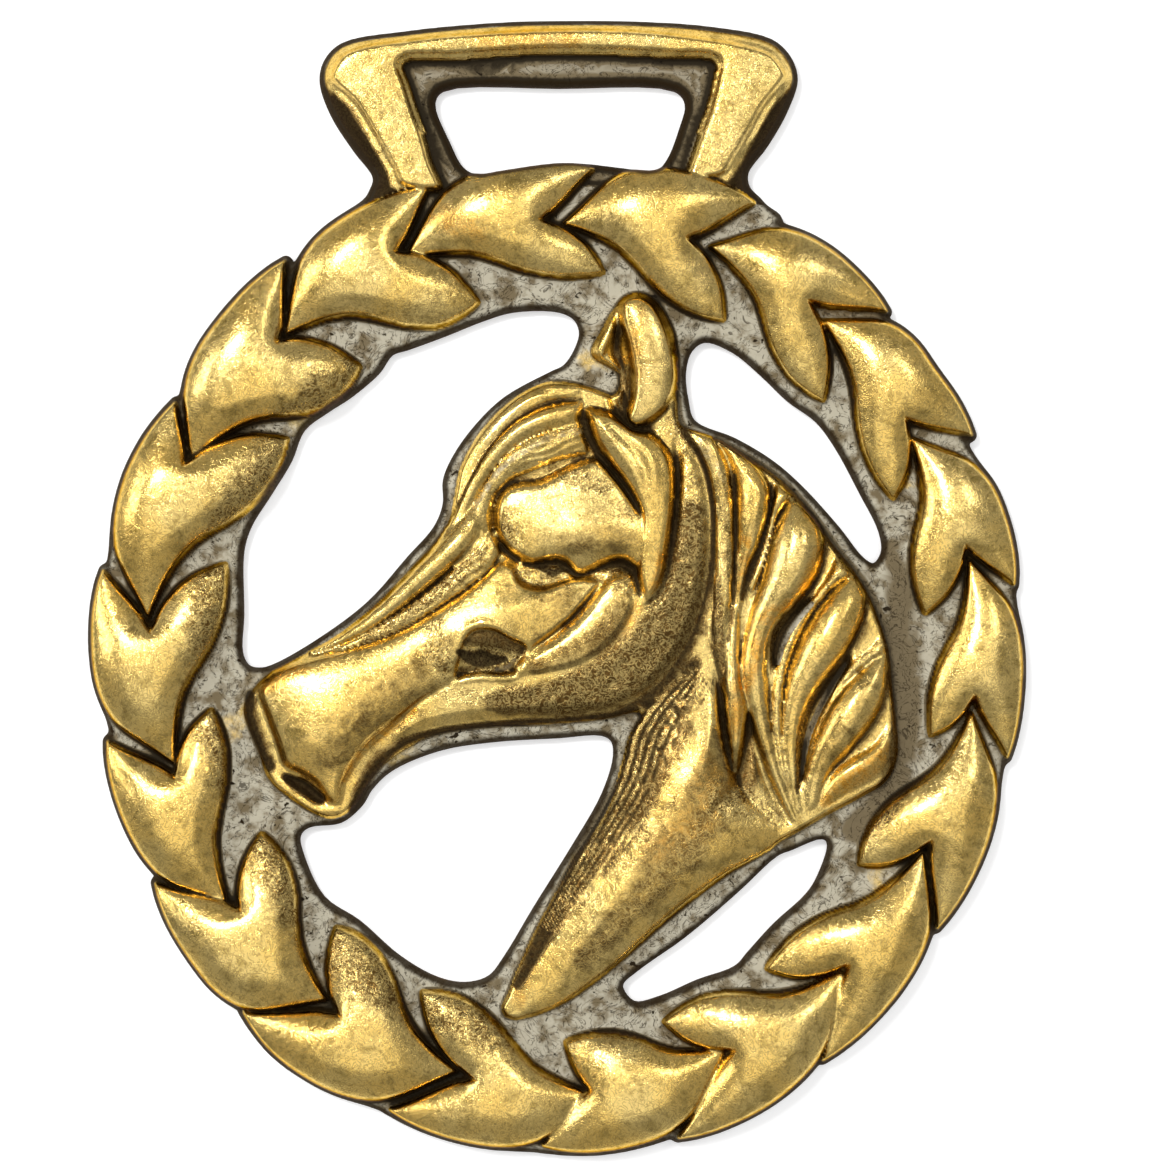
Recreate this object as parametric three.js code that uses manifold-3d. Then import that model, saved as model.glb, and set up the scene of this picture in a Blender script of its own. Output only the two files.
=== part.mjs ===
// A cast horse brass: a wreath of leaf pairs round a horse's head that faces left,
// under a strap loop. Millimetres. It lies on its flat back: the relief looks along +Z,
// the strap loop points along +Y, and the origin is under the middle of the outline.
import * as THREE from 'three';
import { mergeVertices } from 'three/addons/utils/BufferGeometryUtils.js';
import Module from 'manifold-3d';

// Driving dimensions
const plateThickness = 1.7; // the thin ground that all the relief stands on
const sunk = 0.4; // how far each raised shape reaches down into that ground
const wreath = { x: 0.1, y: -5.5, halfWidth: 36.8, halfHeight: 39.4, meanRadius: 38 };
const leaf = { pairs: 18, firstRoot: 113, crowding: 2.8, rise: 1.9, keelRise: 2.2, rim: 0.35 };
const scallop = { depth: 1.1, at: 28, width: 2.2 }; // the dent between two outer lobes
const loop = { faceHeight: 2.6, bevel: 0.8 };
const headRise = 0.9; // the head's own low ground above the plate
const leafShoulders = [[0.3, 0.82]];
const headShoulders = [[0.14, 0.6], [0.45, 0.9]];

const finish = new THREE.MeshStandardMaterial({ color: 0xb08d3c, roughness: 0.3, metalness: 1 });

// Solids: three.js geometry in, closed manifold solids out
const wasm = await Module();
wasm.setup();

function toSolid(geometry) {
  const bare = geometry.clone();
  bare.deleteAttribute('normal');
  bare.deleteAttribute('uv');
  const merged = mergeVertices(bare, 1e-4);
  return new wasm.Manifold(new wasm.Mesh({
    numProp: 3,
    vertProperties: new Float32Array(merged.attributes.position.array),
    triVerts: new Uint32Array(merged.index.array),
  }));
}

function toGeometry(solid) {
  const mesh = solid.getMesh();
  const geometry = new THREE.BufferGeometry();
  geometry.setAttribute('position', new THREE.BufferAttribute(new Float32Array(mesh.vertProperties), 3));
  geometry.setIndex(new THREE.BufferAttribute(new Uint32Array(mesh.triVerts), 1));
  geometry.computeVertexNormals();
  return geometry;
}

// Curves
function curveThrough(points, closed = false) {
  const nodes = points.map(([x, y]) => new THREE.Vector3(x, y, 0));
  return new THREE.CatmullRomCurve3(nodes, closed, 'centripetal');
}

function smoothShape(points, steps) {
  const along = curveThrough(points, true).getSpacedPoints(steps).slice(0, -1);
  return new THREE.Shape(along.map((point) => new THREE.Vector2(point.x, point.y)));
}

// A flat slab of a shape, from one height to another
function slab(shape, from, to) {
  const geometry = new THREE.ExtrudeGeometry(shape, { depth: to - from, bevelEnabled: false });
  geometry.translate(0, 0, from);
  return toSolid(geometry);
}

// A rounded ridge between a left and a right edge, highest along its crest. All three run
// from the root to the tip, and the ridge swells out of its ground and dies back into it.
// A shoulder is [how far in from edge to crest, how much of the height it has there].
function ridge({ left, right, crest, rise, ground, stations, shoulders }) {
  const edges = [left, right, crest].map((points) => curveThrough(points));
  const tipHalf = 0.18; // half the width left at a pointed end
  const positions = [];
  for (let i = 0; i <= stations; i++) {
    const t = i / stations;
    const [l, r, c] = edges.map((edge) => edge.getPointAt(t));
    const along = edges[2].getTangentAt(t);
    const across = new THREE.Vector3(-along.y, along.x, 0).multiplyScalar(tipHalf);
    if (across.dot(l.clone().sub(r)) < 0) {
      across.negate();
    }
    l.add(across);
    r.sub(across);
    const height = rise * Math.sin(Math.PI * (0.12 + 0.78 * t)) ** 0.55;
    const section = [[l, ground - sunk]];
    for (const [inward, share] of shoulders) {
      section.push([l.clone().lerp(c, inward), ground + share * height]);
    }
    section.push([c, ground + height]);
    for (const [inward, share] of [...shoulders].reverse()) {
      section.push([r.clone().lerp(c, inward), ground + share * height]);
    }
    section.push([r, ground - sunk]);
    for (const [point, z] of section) {
      positions.push(point.x, point.y, z);
    }
  }
  const ring = 2 * shoulders.length + 3;
  const index = [];
  for (let i = 0; i < stations; i++) {
    for (let j = 0; j < ring; j++) {
      const a = i * ring + j;
      const b = i * ring + ((j + 1) % ring);
      index.push(a, b, b + ring, a, b + ring, a + ring);
    }
  }
  const last = stations * ring;
  for (let j = 1; j < ring - 1; j++) {
    index.push(0, j + 1, j);
    index.push(last, last + j, last + j + 1);
  }
  const geometry = new THREE.BufferGeometry();
  geometry.setAttribute('position', new THREE.Float32BufferAttribute(positions, 3));
  geometry.setIndex(index);
  if (signedVolume(positions, index) < 0) {
    geometry.setIndex(index.map((_, k) => index[k - (k % 3) + (2 - (k % 3))]));
  }
  return toSolid(geometry);
}

function signedVolume(positions, index) {
  const corner = (k) => new THREE.Vector3().fromArray(positions, 3 * index[k]);
  let volume = 0;
  for (let k = 0; k < index.length; k += 3) {
    volume += corner(k).dot(corner(k + 1).cross(corner(k + 2)));
  }
  return volume;
}

// The wreath: every place on it is an angle and a depth in from its outer edge
function onWreath(degrees, depth) {
  const angle = THREE.MathUtils.degToRad(degrees);
  const reach = 1 - depth / wreath.meanRadius;
  return [
    wreath.x + wreath.halfWidth * reach * Math.cos(angle),
    wreath.y + wreath.halfHeight * reach * Math.sin(angle),
  ];
}

// Where each leaf pair is rooted. They run clockwise, a little closer together on the left.
function leafRoot(i) {
  const even = leaf.firstRoot - (360 / leaf.pairs) * i;
  return even - leaf.crowding * Math.sin(THREE.MathUtils.degToRad(even));
}

// One leaf pair, as [degrees clockwise from its root, depth]: an outer and an inner lobe
// that part at a notch, and the keel that they share
const lobes = {
  outer: {
    left: [[0, 4.4], [4.5, 2.8], [9, 0.7], [15, 0], [21, 0], [25.5, 0.4]],
    right: [[0, 4.9], [8, 4.6], [17.5, 4.7], [22, 2.4], [25.5, 0.8]],
    crest: [[0, 4.6], [8, 3.1], [14, 2.3], [20, 1.5], [25.3, 0.6]],
    rise: leaf.rise,
    stations: 5,
  },
  inner: {
    left: [[0, 4.4], [8, 4.6], [17.5, 4.7], [22.5, 6.8], [27, 9]],
    right: [[0, 5], [4, 5.4], [7.5, 6.1], [11, 7.5], [15, 8.9], [20, 9.6], [24.5, 9.7], [27, 9.3]],
    crest: [[0, 4.7], [8, 5.4], [14, 6.6], [20, 7.9], [26.8, 9.1]],
    rise: leaf.rise,
    stations: 5,
  },
  keel: {
    left: [[0, 4.3], [8, 3.2], [14, 3], [18, 4.4]],
    right: [[0, 5.1], [8, 5.4], [14, 6], [18, 5]],
    crest: [[0, 4.7], [9, 4.5], [18, 4.7]],
    rise: leaf.keelRise,
    stations: 3,
  },
};

function leafPair(i) {
  const root = leafRoot(i);
  const place = (points) => points.map(([turn, depth]) => onWreath(root - turn, depth));
  return Object.values(lobes).map(({ left, right, crest, rise, stations }) =>
    ridge({
      left: place(left),
      right: place(right),
      crest: place(crest),
      rise,
      stations,
      ground: plateThickness,
      shoulders: leafShoulders,
    }));
}

// The scalloped outline of the wreath: round, with a dent between the tips of each two pairs
function wreathOutline() {
  const dents = Array.from({ length: leaf.pairs }, (_, i) => leafRoot(i) - scallop.at);
  const points = [];
  const steps = 9 * leaf.pairs;
  for (let k = 0; k < steps; k++) {
    const angle = (360 * k) / steps;
    let depth = -leaf.rim;
    for (const dent of dents) {
      const away = ((angle - dent + 540) % 360 + 360) % 360 - 180;
      depth += scallop.depth * Math.exp(-((away / scallop.width) ** 2));
    }
    points.push(new THREE.Vector2(...onWreath(angle, depth)));
  }
  return new THREE.Shape(points);
}

// The strap loop: a trapezoid with a curved top edge and a slot for the strap
const loopOutline = new THREE.Shape();
loopOutline.moveTo(-15.6, 27);
loopOutline.quadraticCurveTo(-15.4, 31.2, -14.8, 32.8);
loopOutline.quadraticCurveTo(-18.2, 37.2, -18.9, 40.2);
loopOutline.quadraticCurveTo(-19.2, 42.1, -17.2, 43.2);
loopOutline.quadraticCurveTo(0, 46.7, 16.9, 43.5);
loopOutline.quadraticCurveTo(19, 42.7, 18.9, 40.3);
loopOutline.quadraticCurveTo(18.2, 37.4, 15, 33.2);
loopOutline.quadraticCurveTo(15.5, 31.2, 16, 27);

const slotOutline = new THREE.Shape();
slotOutline.moveTo(-9.1, 39.7);
slotOutline.quadraticCurveTo(-10.2, 39.6, -9.7, 38.5);
slotOutline.lineTo(-8, 34);
slotOutline.quadraticCurveTo(-7.4, 32.6, -6, 32.6);
slotOutline.quadraticCurveTo(0.5, 34, 6.4, 32.9);
slotOutline.quadraticCurveTo(7.9, 32.7, 8.4, 33.8);
slotOutline.lineTo(10, 38.4);
slotOutline.quadraticCurveTo(10.3, 39.6, 9.1, 39.7);

// The flat raised band of the loop, with bevelled sides
function loopFace() {
  const band = new THREE.Shape();
  band.moveTo(-10.6, 33.6);
  band.lineTo(-12.6, 33.6);
  band.lineTo(-17.8, 41);
  band.quadraticCurveTo(-17.8, 42.3, -16.6, 42.6);
  band.quadraticCurveTo(0, 45.2, 16.6, 42.7);
  band.quadraticCurveTo(17.8, 42.3, 17.8, 41);
  band.lineTo(13.2, 33.9);
  band.lineTo(11, 33.9);
  band.lineTo(12.8, 41.9);
  band.lineTo(-12.8, 41.9);
  const deep = 0.4;
  const geometry = new THREE.ExtrudeGeometry(band, {
    depth: deep,
    bevelThickness: loop.bevel,
    bevelSize: loop.bevel,
    bevelOffset: -0.25,
    bevelSegments: 1,
    curveSegments: 10,
  });
  geometry.translate(0, 0, loop.faceHeight - deep - loop.bevel);
  return toSolid(geometry);
}

// The four openings between the wreath and the head
const openings = {
  beforeFace: [[1.3, 19.2], [-0.5, 17.3], [-4.5, 15.2], [-8.2, 10.8], [-9.3, 7.4], [-11.7, 3.1], [-15.3, -1],
    [-20, -4.5], [-23.8, -6.2], [-25, -4.8], [-24.8, -1], [-24.9, 3], [-22.6, 7.5], [-20, 12.8],
    [-16.6, 15.2], [-13.2, 18.4], [-9, 19.9], [-4, 21.7], [0, 22], [1.5, 20.9]],
  behindEar: [[11.6, 19.5], [10.3, 17], [10.8, 13.5], [15, 11.6], [19.2, 8.4], [24.8, 2.2], [25.5, 4.4],
    [22, 11.4], [20.4, 13.5], [18.2, 15.2], [15.4, 18]],
  underJaw: [[2.6, -11.5], [-4, -12.1], [-9.5, -12.9], [-13.5, -14.7], [-15.3, -16.8], [-17, -18.4],
    [-20, -19], [-19.6, -23], [-16, -26.1], [-11.5, -29.8], [-7, -31.2], [-4.9, -29.8], [-1.6, -24.3],
    [2.8, -17.2], [4.2, -12.7]],
  behindNeck: [[5.3, -31.6], [9.8, -27.9], [14, -24.4], [17.9, -21], [21, -19.9], [19.9, -24], [16.6, -26.9],
    [13.9, -30.1], [9.8, -31.6], [6.4, -32.6]],
};

// The head's low ground: the whole silhouette of head, mane and neck, a flange in from the
// openings
const headOutline = [[-24.6, -9], [-22.8, -7], [-17.5, -4], [-11.8, 1.4], [-8.2, 6.2], [-7.2, 10.8], [-3, 15.3],
  [1.6, 16.5], [4.4, 15.7], [4.9, 19.4], [5.2, 22.4], [7.4, 22.8], [9.2, 18.2], [8.8, 13.6], [12.6, 11.7],
  [17.4, 8.1], [22.6, 2.2], [25.8, -3], [26.8, -9], [25.8, -14.6], [19, -18.8], [13.4, -22.6], [5.2, -29.4],
  [-1, -33.2], [-3.8, -34], [-3.2, -30.6], [1.2, -21.6], [5.2, -13.6], [4.4, -10.6], [-6, -10.9],
  [-12.2, -12.2], [-15.6, -16], [-18.6, -18.1], [-23, -15.2]];

// The head's raised forms, each a ridge: its two edges and its crest
const ground = plateThickness + headRise;
const headForms = [
  { // muzzle and long bone of the nose
    left: [[-24.2, -8.8], [-20, -6], [-14.6, -4.4], [-8.6, -1.2], [-4.2, 2.4]],
    right: [[-19, -16.8], [-16, -14.4], [-11, -9.4], [-5.6, -6.8], [1, -3]],
    crest: [[-22, -11], [-18, -9.6], [-12, -5.4], [-5.8, -1.6], [-1.6, 0.6]],
    rise: 2.1,
  },
  { // jaw, from the chin to below the eye
    left: [[-16.4, -16], [-10.4, -9.2], [-4, -6.4], [1, -3.4], [4, 1.4]],
    right: [[-15.4, -16.4], [-10, -11.6], [-3, -10.9], [4, -10], [7, -7]],
    crest: [[-15.9, -16.2], [-10, -10.2], [-2.4, -8], [3.4, -6], [5.6, -2]],
    rise: 1.7,
  },
  { // round cheek behind the eye, up to the root of the ear
    left: [[4.4, 13], [3.4, 6], [2, 0], [0, -5], [-1, -9.6]],
    right: [[7.4, 12.8], [10.2, 8], [11.2, 0], [8, -8.6], [1, -10.9]],
    crest: [[5.8, 13], [7.4, 7], [7.4, 0], [4.6, -6], [0, -10.2]],
    rise: 1.6,
  },
  { // brow
    left: [[-4.6, 3.2], [-4.4, 7.6], [0, 9.2], [4, 8.4], [6.6, 5.8]],
    right: [[-3.6, 2.6], [-0.6, 2.5], [2, 1.5], [5, 2.4], [6.8, 4.8]],
    crest: [[-4.2, 3], [-1, 5.8], [1.6, 5.6], [4.4, 5.4], [6.7, 5.4]],
    rise: 2,
  },
  { // forelock, the lock along the outline
    left: [[1.6, 16.4], [-3.2, 15], [-7, 10.6], [-8, 6.2], [-12.6, 0.8], [-18.4, -4.2]],
    right: [[1.6, 15], [-1.8, 14.2], [-5.4, 10.6], [-6.4, 6.2], [-11, 0.2], [-17, -4.4]],
    crest: [[1.6, 15.8], [-2.4, 14.6], [-6.2, 10.6], [-7.2, 6.2], [-11.8, 0.4], [-17.8, -4.4]],
    rise: 0.9,
  },
  { // forelock, the broad lock that falls inside it
    left: [[1.9, 14.6], [-1.6, 13.8], [-5, 10.4], [-6, 6.4], [-10, 1], [-15, -3.4]],
    right: [[1.7, 12.2], [-1.8, 10.6], [-4.8, 8], [-5, 3.6], [-8, -0.2], [-13.6, -4.2]],
    crest: [[1.7, 13.6], [-1.8, 12.2], [-5.2, 9], [-5.8, 4.4], [-9.4, 0.2], [-14.4, -4]],
    rise: 1.2,
  },
  { // lock that hangs down the cheek
    left: [[2.3, 14.2], [2.8, 12], [4.8, 9], [6.4, 6], [6.6, 2], [6.6, -0.6]],
    right: [[4.4, 14.2], [7, 12.6], [9, 9.8], [9.2, 6], [8.6, 2], [7.2, -0.6]],
    crest: [[3.2, 14], [5, 12], [7, 8.8], [8, 6], [7.8, 2], [6.9, -0.6]],
    rise: 2,
  },
  { // ear
    left: [[5.6, 12.8], [5.5, 15.4], [5.7, 18], [5.1, 20.6], [5.4, 22.8]],
    right: [[6.6, 12.8], [8.8, 15], [9.2, 17.6], [8.6, 20.6], [7, 22.9]],
    crest: [[6, 12.9], [7.4, 15.4], [7.6, 18], [6.8, 20.6], [6.2, 22.9]],
    rise: 1.9,
  },
  { // neck
    left: [[-4.2, -33.8], [-2, -28.6], [1.4, -21.8], [5.6, -14], [9, -8]],
    right: [[-2.2, -33.6], [4.6, -29.2], [11.4, -23.6], [16.6, -19.6], [14, -13]],
    crest: [[-3.4, -33.8], [1, -27], [5.4, -21], [9.4, -15], [11.6, -8]],
    rise: 1.9,
  },
];

// The mane: locks rooted low on the crest of the neck that curl up and back, one behind the other
const maneLocks = [
  { // against the jaw
    left: [[11.4, -8], [11, -2], [9.2, 3], [9.6, 8], [9.4, 11]],
    right: [[12.4, -9], [12.4, -3], [11.8, 2], [11.7, 7], [9.8, 11.4]],
    crest: [[11.8, -8.4], [11.6, -2.6], [10.6, 3], [10.6, 7], [9.6, 11.2]],
    rise: 1,
  },
  { // first full lock
    left: [[13.6, -14], [13.4, -6], [12.2, 0], [13.2, 7], [12.2, 11.6]],
    right: [[15, -10], [15, -4], [15.4, 1], [16.6, 6.8], [12.8, 11.8]],
    crest: [[14.2, -12], [14.2, -5], [14, 1], [15, 7], [12.5, 11.7]],
    rise: 1.4,
  },
  { // second full lock
    left: [[16.8, -15.6], [15.6, -9], [15.2, -2], [16.8, 4], [17.6, 8]],
    right: [[18.4, -17.6], [17, -10], [16.8, -4], [20.4, 0], [18.8, 7.8]],
    crest: [[17.6, -16.6], [16.2, -9], [16.2, -2.4], [19, 3], [18.2, 7.9]],
    rise: 1.8,
  },
  { // third full lock
    left: [[18.8, -17.6], [17.7, -11], [18, -7], [20.4, -2.6], [22.8, 1]],
    right: [[19.6, -17.8], [19.2, -12], [20.8, -8.4], [24, -4], [23.4, 0.8]],
    crest: [[19.2, -17.7], [18.5, -11], [19.4, -7.2], [22.2, -2.8], [23.1, 0.9]],
    rise: 1.8,
  },
  { // last full lock
    left: [[20.4, -17], [20.4, -12], [22, -8.4], [24, -6.4], [25.4, -5.2]],
    right: [[21.4, -16], [23, -13], [25, -10.8], [26, -8.4], [25.8, -5.6]],
    crest: [[20.9, -16.4], [21.8, -12.4], [23.6, -9.4], [25, -7.4], [25.6, -5.4]],
    rise: 1.6,
  },
  { // the short lock at the root
    left: [[20.8, -16.6], [22.4, -14.2], [24.6, -12.2], [26.6, -9.6]],
    right: [[21.6, -17], [24, -15.6], [25.8, -14.2], [26.9, -10.4]],
    crest: [[21.2, -16.8], [23.2, -14.8], [25.2, -13], [26.8, -9.9]],
    rise: 1.3,
  },
];

function buildBrass() {
  let body = slab(wreathOutline(), 0, plateThickness).add(slab(loopOutline, 0, plateThickness));
  body = body.add(loopFace());
  body = body.add(slab(smoothShape(headOutline, 84), plateThickness - sunk, plateThickness + headRise));
  for (const form of [...headForms, ...maneLocks]) {
    body = body.add(ridge({ ...form, ground, stations: 6, shoulders: headShoulders }));
  }
  for (let i = 0; i < leaf.pairs; i++) {
    for (const lobe of leafPair(i)) {
      body = body.add(lobe);
    }
  }
  const through = [slotOutline, ...Object.values(openings).map((outline) => smoothShape(outline, 44))];
  for (const shape of through) {
    body = body.subtract(slab(shape, -1, loop.faceHeight + leaf.rise));
  }
  return body;
}

const geometry = toGeometry(buildBrass());
geometry.computeBoundingBox();
const middle = geometry.boundingBox.getCenter(new THREE.Vector3());
geometry.translate(-middle.x, -middle.y, 0);

const brass = new THREE.Mesh(geometry, finish);
brass.name = 'horse_brass';

const part = new THREE.Group();
part.add(brass);

export default part;
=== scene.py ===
import math
import bpy
import numpy as np
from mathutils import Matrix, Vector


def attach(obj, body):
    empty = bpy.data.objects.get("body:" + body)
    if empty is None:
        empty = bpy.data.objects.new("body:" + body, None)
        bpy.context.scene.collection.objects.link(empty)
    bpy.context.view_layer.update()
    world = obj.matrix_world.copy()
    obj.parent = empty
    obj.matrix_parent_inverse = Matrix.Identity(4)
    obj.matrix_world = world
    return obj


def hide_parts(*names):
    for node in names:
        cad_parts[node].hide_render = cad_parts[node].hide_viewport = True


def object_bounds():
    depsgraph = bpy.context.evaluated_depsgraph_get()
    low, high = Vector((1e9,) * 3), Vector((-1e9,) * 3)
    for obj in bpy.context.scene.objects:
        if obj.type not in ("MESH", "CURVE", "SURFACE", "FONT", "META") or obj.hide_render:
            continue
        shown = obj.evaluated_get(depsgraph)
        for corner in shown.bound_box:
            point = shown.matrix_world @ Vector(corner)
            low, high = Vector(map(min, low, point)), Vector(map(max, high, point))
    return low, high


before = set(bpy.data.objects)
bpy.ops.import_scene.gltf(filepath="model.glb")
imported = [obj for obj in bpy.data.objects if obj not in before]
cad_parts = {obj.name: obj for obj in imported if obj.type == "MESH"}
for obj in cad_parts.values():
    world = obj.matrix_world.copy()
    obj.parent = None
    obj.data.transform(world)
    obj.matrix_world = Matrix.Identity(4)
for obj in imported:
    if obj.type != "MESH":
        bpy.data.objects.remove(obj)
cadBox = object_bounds()
mm = 0.001

# the relief is worked out in millimetres on a fine sheet of heights, seen from above
sheet = {"step": 0.14, "halfWidth": 37.66, "halfHeight": 45.64}
gridX = np.arange(-sheet["halfWidth"], sheet["halfWidth"] + 1e-6, sheet["step"])
gridY = np.arange(-sheet["halfHeight"], sheet["halfHeight"] + 1e-6, sheet["step"])
sheetX, sheetY = np.meshgrid(gridX, gridY)
farOut = -9.0      # stands for anywhere well outside an outline


def curveThrough(points, perSpan=6, closed=False):
    p = np.array(points, float)
    if closed:
        p = np.vstack([p[-1], p, p[0], p[1]])
    else:
        p = np.vstack([2 * p[0] - p[1], p, 2 * p[-1] - p[-2]])
    t = np.linspace(0, 1, perSpan, endpoint=False)[:, None]
    spans = []
    for a, b, c, d in zip(p[:-3], p[1:-2], p[2:-1], p[3:]):
        r = [max(np.linalg.norm((v - u)[:2]), 1e-6) ** 0.5 for u, v in ((a, b), (b, c), (c, d))]
        leave = r[1] * ((b - a) / r[0] - (c - a) / (r[0] + r[1]) + (c - b) / r[1])
        arrive = r[1] * ((c - b) / r[1] - (d - b) / (r[1] + r[2]) + (d - c) / r[2])
        spans.append((2 * t**3 - 3 * t**2 + 1) * b + (t**3 - 2 * t**2 + t) * leave
                     + (3 * t**2 - 2 * t**3) * c + (t**3 - t**2) * arrive)
    return np.vstack(spans if closed else spans + [p[-2][None]])


def smoothStep(v, low=0.0, high=1.0):
    t = np.clip((v - low) / (high - low), 0, 1)
    return t * t * (3 - 2 * t)


def softMax(a, b, blend):
    return 0.5 * (a + b + np.sqrt((a - b) ** 2 + blend**2))


def windowOf(points, margin):
    low = points[:, :2].min(0) - margin
    high = points[:, :2].max(0) + margin
    i0, i1 = np.searchsorted(gridX, [low[0], high[0]])
    j0, j1 = np.searchsorted(gridY, [low[1], high[1]])
    return slice(j0, j1 + 1), slice(i0, i1 + 1)


# distance in from a closed outline, negative outside it
def inset(outline, margin=1.5):
    part = windowOf(outline, margin)
    x, y = sheetX[part], sheetY[part]
    nearest = np.full(x.shape, 1e9)
    inside = np.zeros(x.shape, bool)
    for (ax, ay), (bx, by) in zip(outline, np.roll(outline, -1, axis=0)):
        ex, ey = bx - ax, by - ay
        t = np.clip(((x - ax) * ex + (y - ay) * ey) / (ex * ex + ey * ey + 1e-12), 0, 1)
        nearest = np.minimum(nearest, (x - ax - t * ex) ** 2 + (y - ay - t * ey) ** 2)
        if ay != by:
            inside ^= ((ay > y) != (by > y)) & (x < ax + (y - ay) * ex / ey)
    out = np.full(sheetX.shape, farOut)
    out[part] = np.where(inside, 1, -1) * np.sqrt(nearest)
    return out


# distance from an open line, how far along it, and the line's own values at the nearest point
def beside(line, margin):
    part = windowOf(line, margin)
    x, y = sheetX[part], sheetY[part]
    nearest = np.full(x.shape, 1e9)
    values = [np.zeros(x.shape) for _ in range(line.shape[1] - 2)]
    along = np.zeros(x.shape)
    steps = np.linalg.norm(np.diff(line[:, :2], axis=0), axis=1)
    start = np.concatenate([[0], np.cumsum(steps)])
    for k, (a, b) in enumerate(zip(line[:-1], line[1:])):
        ex, ey = b[0] - a[0], b[1] - a[1]
        t = np.clip(((x - a[0]) * ex + (y - a[1]) * ey) / (ex * ex + ey * ey + 1e-12), 0, 1)
        d = (x - a[0] - t * ex) ** 2 + (y - a[1] - t * ey) ** 2
        near = d < nearest
        nearest = np.where(near, d, nearest)
        along = np.where(near, start[k] + t * steps[k], along)
        for n in range(len(values)):
            values[n] = np.where(near, a[n + 2] + t * (b[n + 2] - a[n + 2]), values[n])
    return part, np.sqrt(nearest), along, values


def blurred(field, sigma):
    s = sigma / sheet["step"]
    n = max(1, int(math.ceil(3 * s)))
    weights = np.exp(-0.5 * (np.arange(-n, n + 1) / s) ** 2)
    weights /= weights.sum()
    for axis in (0, 1):
        padded = np.pad(field, [(n, n) if a == axis else (0, 0) for a in (0, 1)], mode="edge")
        out = np.zeros_like(field)
        for k, w in enumerate(weights):
            cut = [slice(None), slice(None)]
            cut[axis] = slice(k, k + field.shape[axis])
            out += w * padded[tuple(cut)]
        field = out
    return field


def mottle(size, seed):  # smooth random unevenness, about -1 to 1, with lumps of the given size
    noise = np.random.default_rng(seed).standard_normal(sheetX.shape)
    soft = blurred(noise, size / 2.5)
    return soft / soft.std() * 0.5


# a membrane blown up over the inside of an outline; over a strip it rises to the half width squared
def inflated(d, sweeps=90, relax=1.85):
    inside = d > 0
    u = np.where(inside, d * (2 * d.max() - d) / 2, 0)
    checker = np.indices(d.shape).sum(0) % 2 == 0
    for _ in range(sweeps):
        for cells in (inside & checker, inside & ~checker):
            around = np.roll(u, 1, 0) + np.roll(u, -1, 0) + np.roll(u, 1, 1) + np.roll(u, -1, 1)
            u = np.where(cells, u + relax * ((around + sheet["step"] ** 2) / 4 - u), u)
    return np.clip(2 * u, 0, None)


# how far in each point is, and its height from 0 to about 1
def swelling(outline, halfWidth, power, margin=1.5, grow=0.0):
    part = windowOf(outline, margin)
    d = inset(outline, margin) + grow
    height = np.zeros(d.shape)
    height[part] = (inflated(d[part]) / halfWidth**2) ** (power / 2)
    return d, height


# the wreath of paired leaves
wreath = {
    "x": 0.1, "y": -5.6, "halfWidth": 36.9, "halfHeight": 39.35, "meanRadius": 38.0,
    "bandIn": 0.75,        # how far the plain flange stays in from the oval
    "fullness": 0.3,       # how much each leaf swells past its drawn outline
    "rim": 0.18,           # how far the casting's edge stands out past the leaves
    "wall": 0.85, "wallWidth": 0.36, "rise": 1.6, "leafHalf": 2.9, "power": 1.35,
    # turn in degrees and how far the rim stands out there: no cast wreath is a true oval
    "wobble": [(-176, 0), (-168, -0.15), (-155, -0.55), (-142, -0.3), (-127, 0.55), (-112, 0.15),
        (-98, 0.35), (-85, 0.55), (-65, 0.25), (-52, -0.3), (-38, -0.5), (-25, -0.15), (-12, -0.1),
        (2, 0.1), (12, 0.4), (20, 0.35), (28, -0.2), (36, -0.5), (44, 0), (54, 0.3), (66, 0.3), (80, 0),
        (110, -0.1), (122, 0), (138, -0.35), (148, -0.25), (156, 0.45), (166, 0.5), (176, 0.2)],
    "steady": 9.0,         # the wobble dies out this deep inside the rim
}
# root turn and depth, then turn and depth of the notch, the outer tip and the inner tip
leafPairs = [
    (112.4, 4.8, 19.1, 4.5, 26.5, 0.4, 29.2, 8.2),
    (89.5, 4.7, 16.9, 4.4, 23.8, 0, 26.6, 8.8),
    (68.8, 4.3, 14.6, 4.2, 23.7, 0.4, 26, 8.8),
    (50.4, 4.5, 16.6, 4.3, 23.2, 0.2, 25.9, 8.2),
    (30.6, 4.6, 15.2, 4.2, 21.6, 0.9, 23.7, 8.1),
    (13, 4.1, 16.9, 4.3, 24.4, 0.8, 23.7, 7.3),
    (-6.9, 4.3, 16.8, 4.9, 26.7, 0.8, 25.6, 9.1),
    (-26.2, 5, 17.5, 5, 28.7, 0.6, 28.2, 9.1),
    (-45.2, 4.8, 18.7, 5.4, 29.9, 0.7, 27.7, 9.2),
    (-65.2, 5.6, 20.3, 5.6, 26.9, 1.4, 23.8, 8.9),
    (-84.8, 5, 16.9, 5.6, 27.1, 1.2, 29.1, 10.3),
    (-105, 5.7, 18.1, 5.9, 28.7, 1, 26.8, 10.7),
    (-126.3, 6.1, 17.2, 5.8, 26.3, 0.5, 25.1, 10.4),
    (-145.8, 5.1, 17.9, 5.5, 24.6, 0.6, 26.6, 9.4),
    (-166, 5.6, 17.3, 4.9, 24.4, 0.6, 29.1, 9.8),
    (-185.6, 4.5, 19.9, 4.3, 26.5, 0.8, 31.6, 10.1),
    (-207, 4.4, 19.3, 4.6, 26.7, 0.1, 27, 10.3),
    (-228, 4.5, 18.3, 4.2, 25.5, 0.3, 28.3, 9.9),
]
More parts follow.
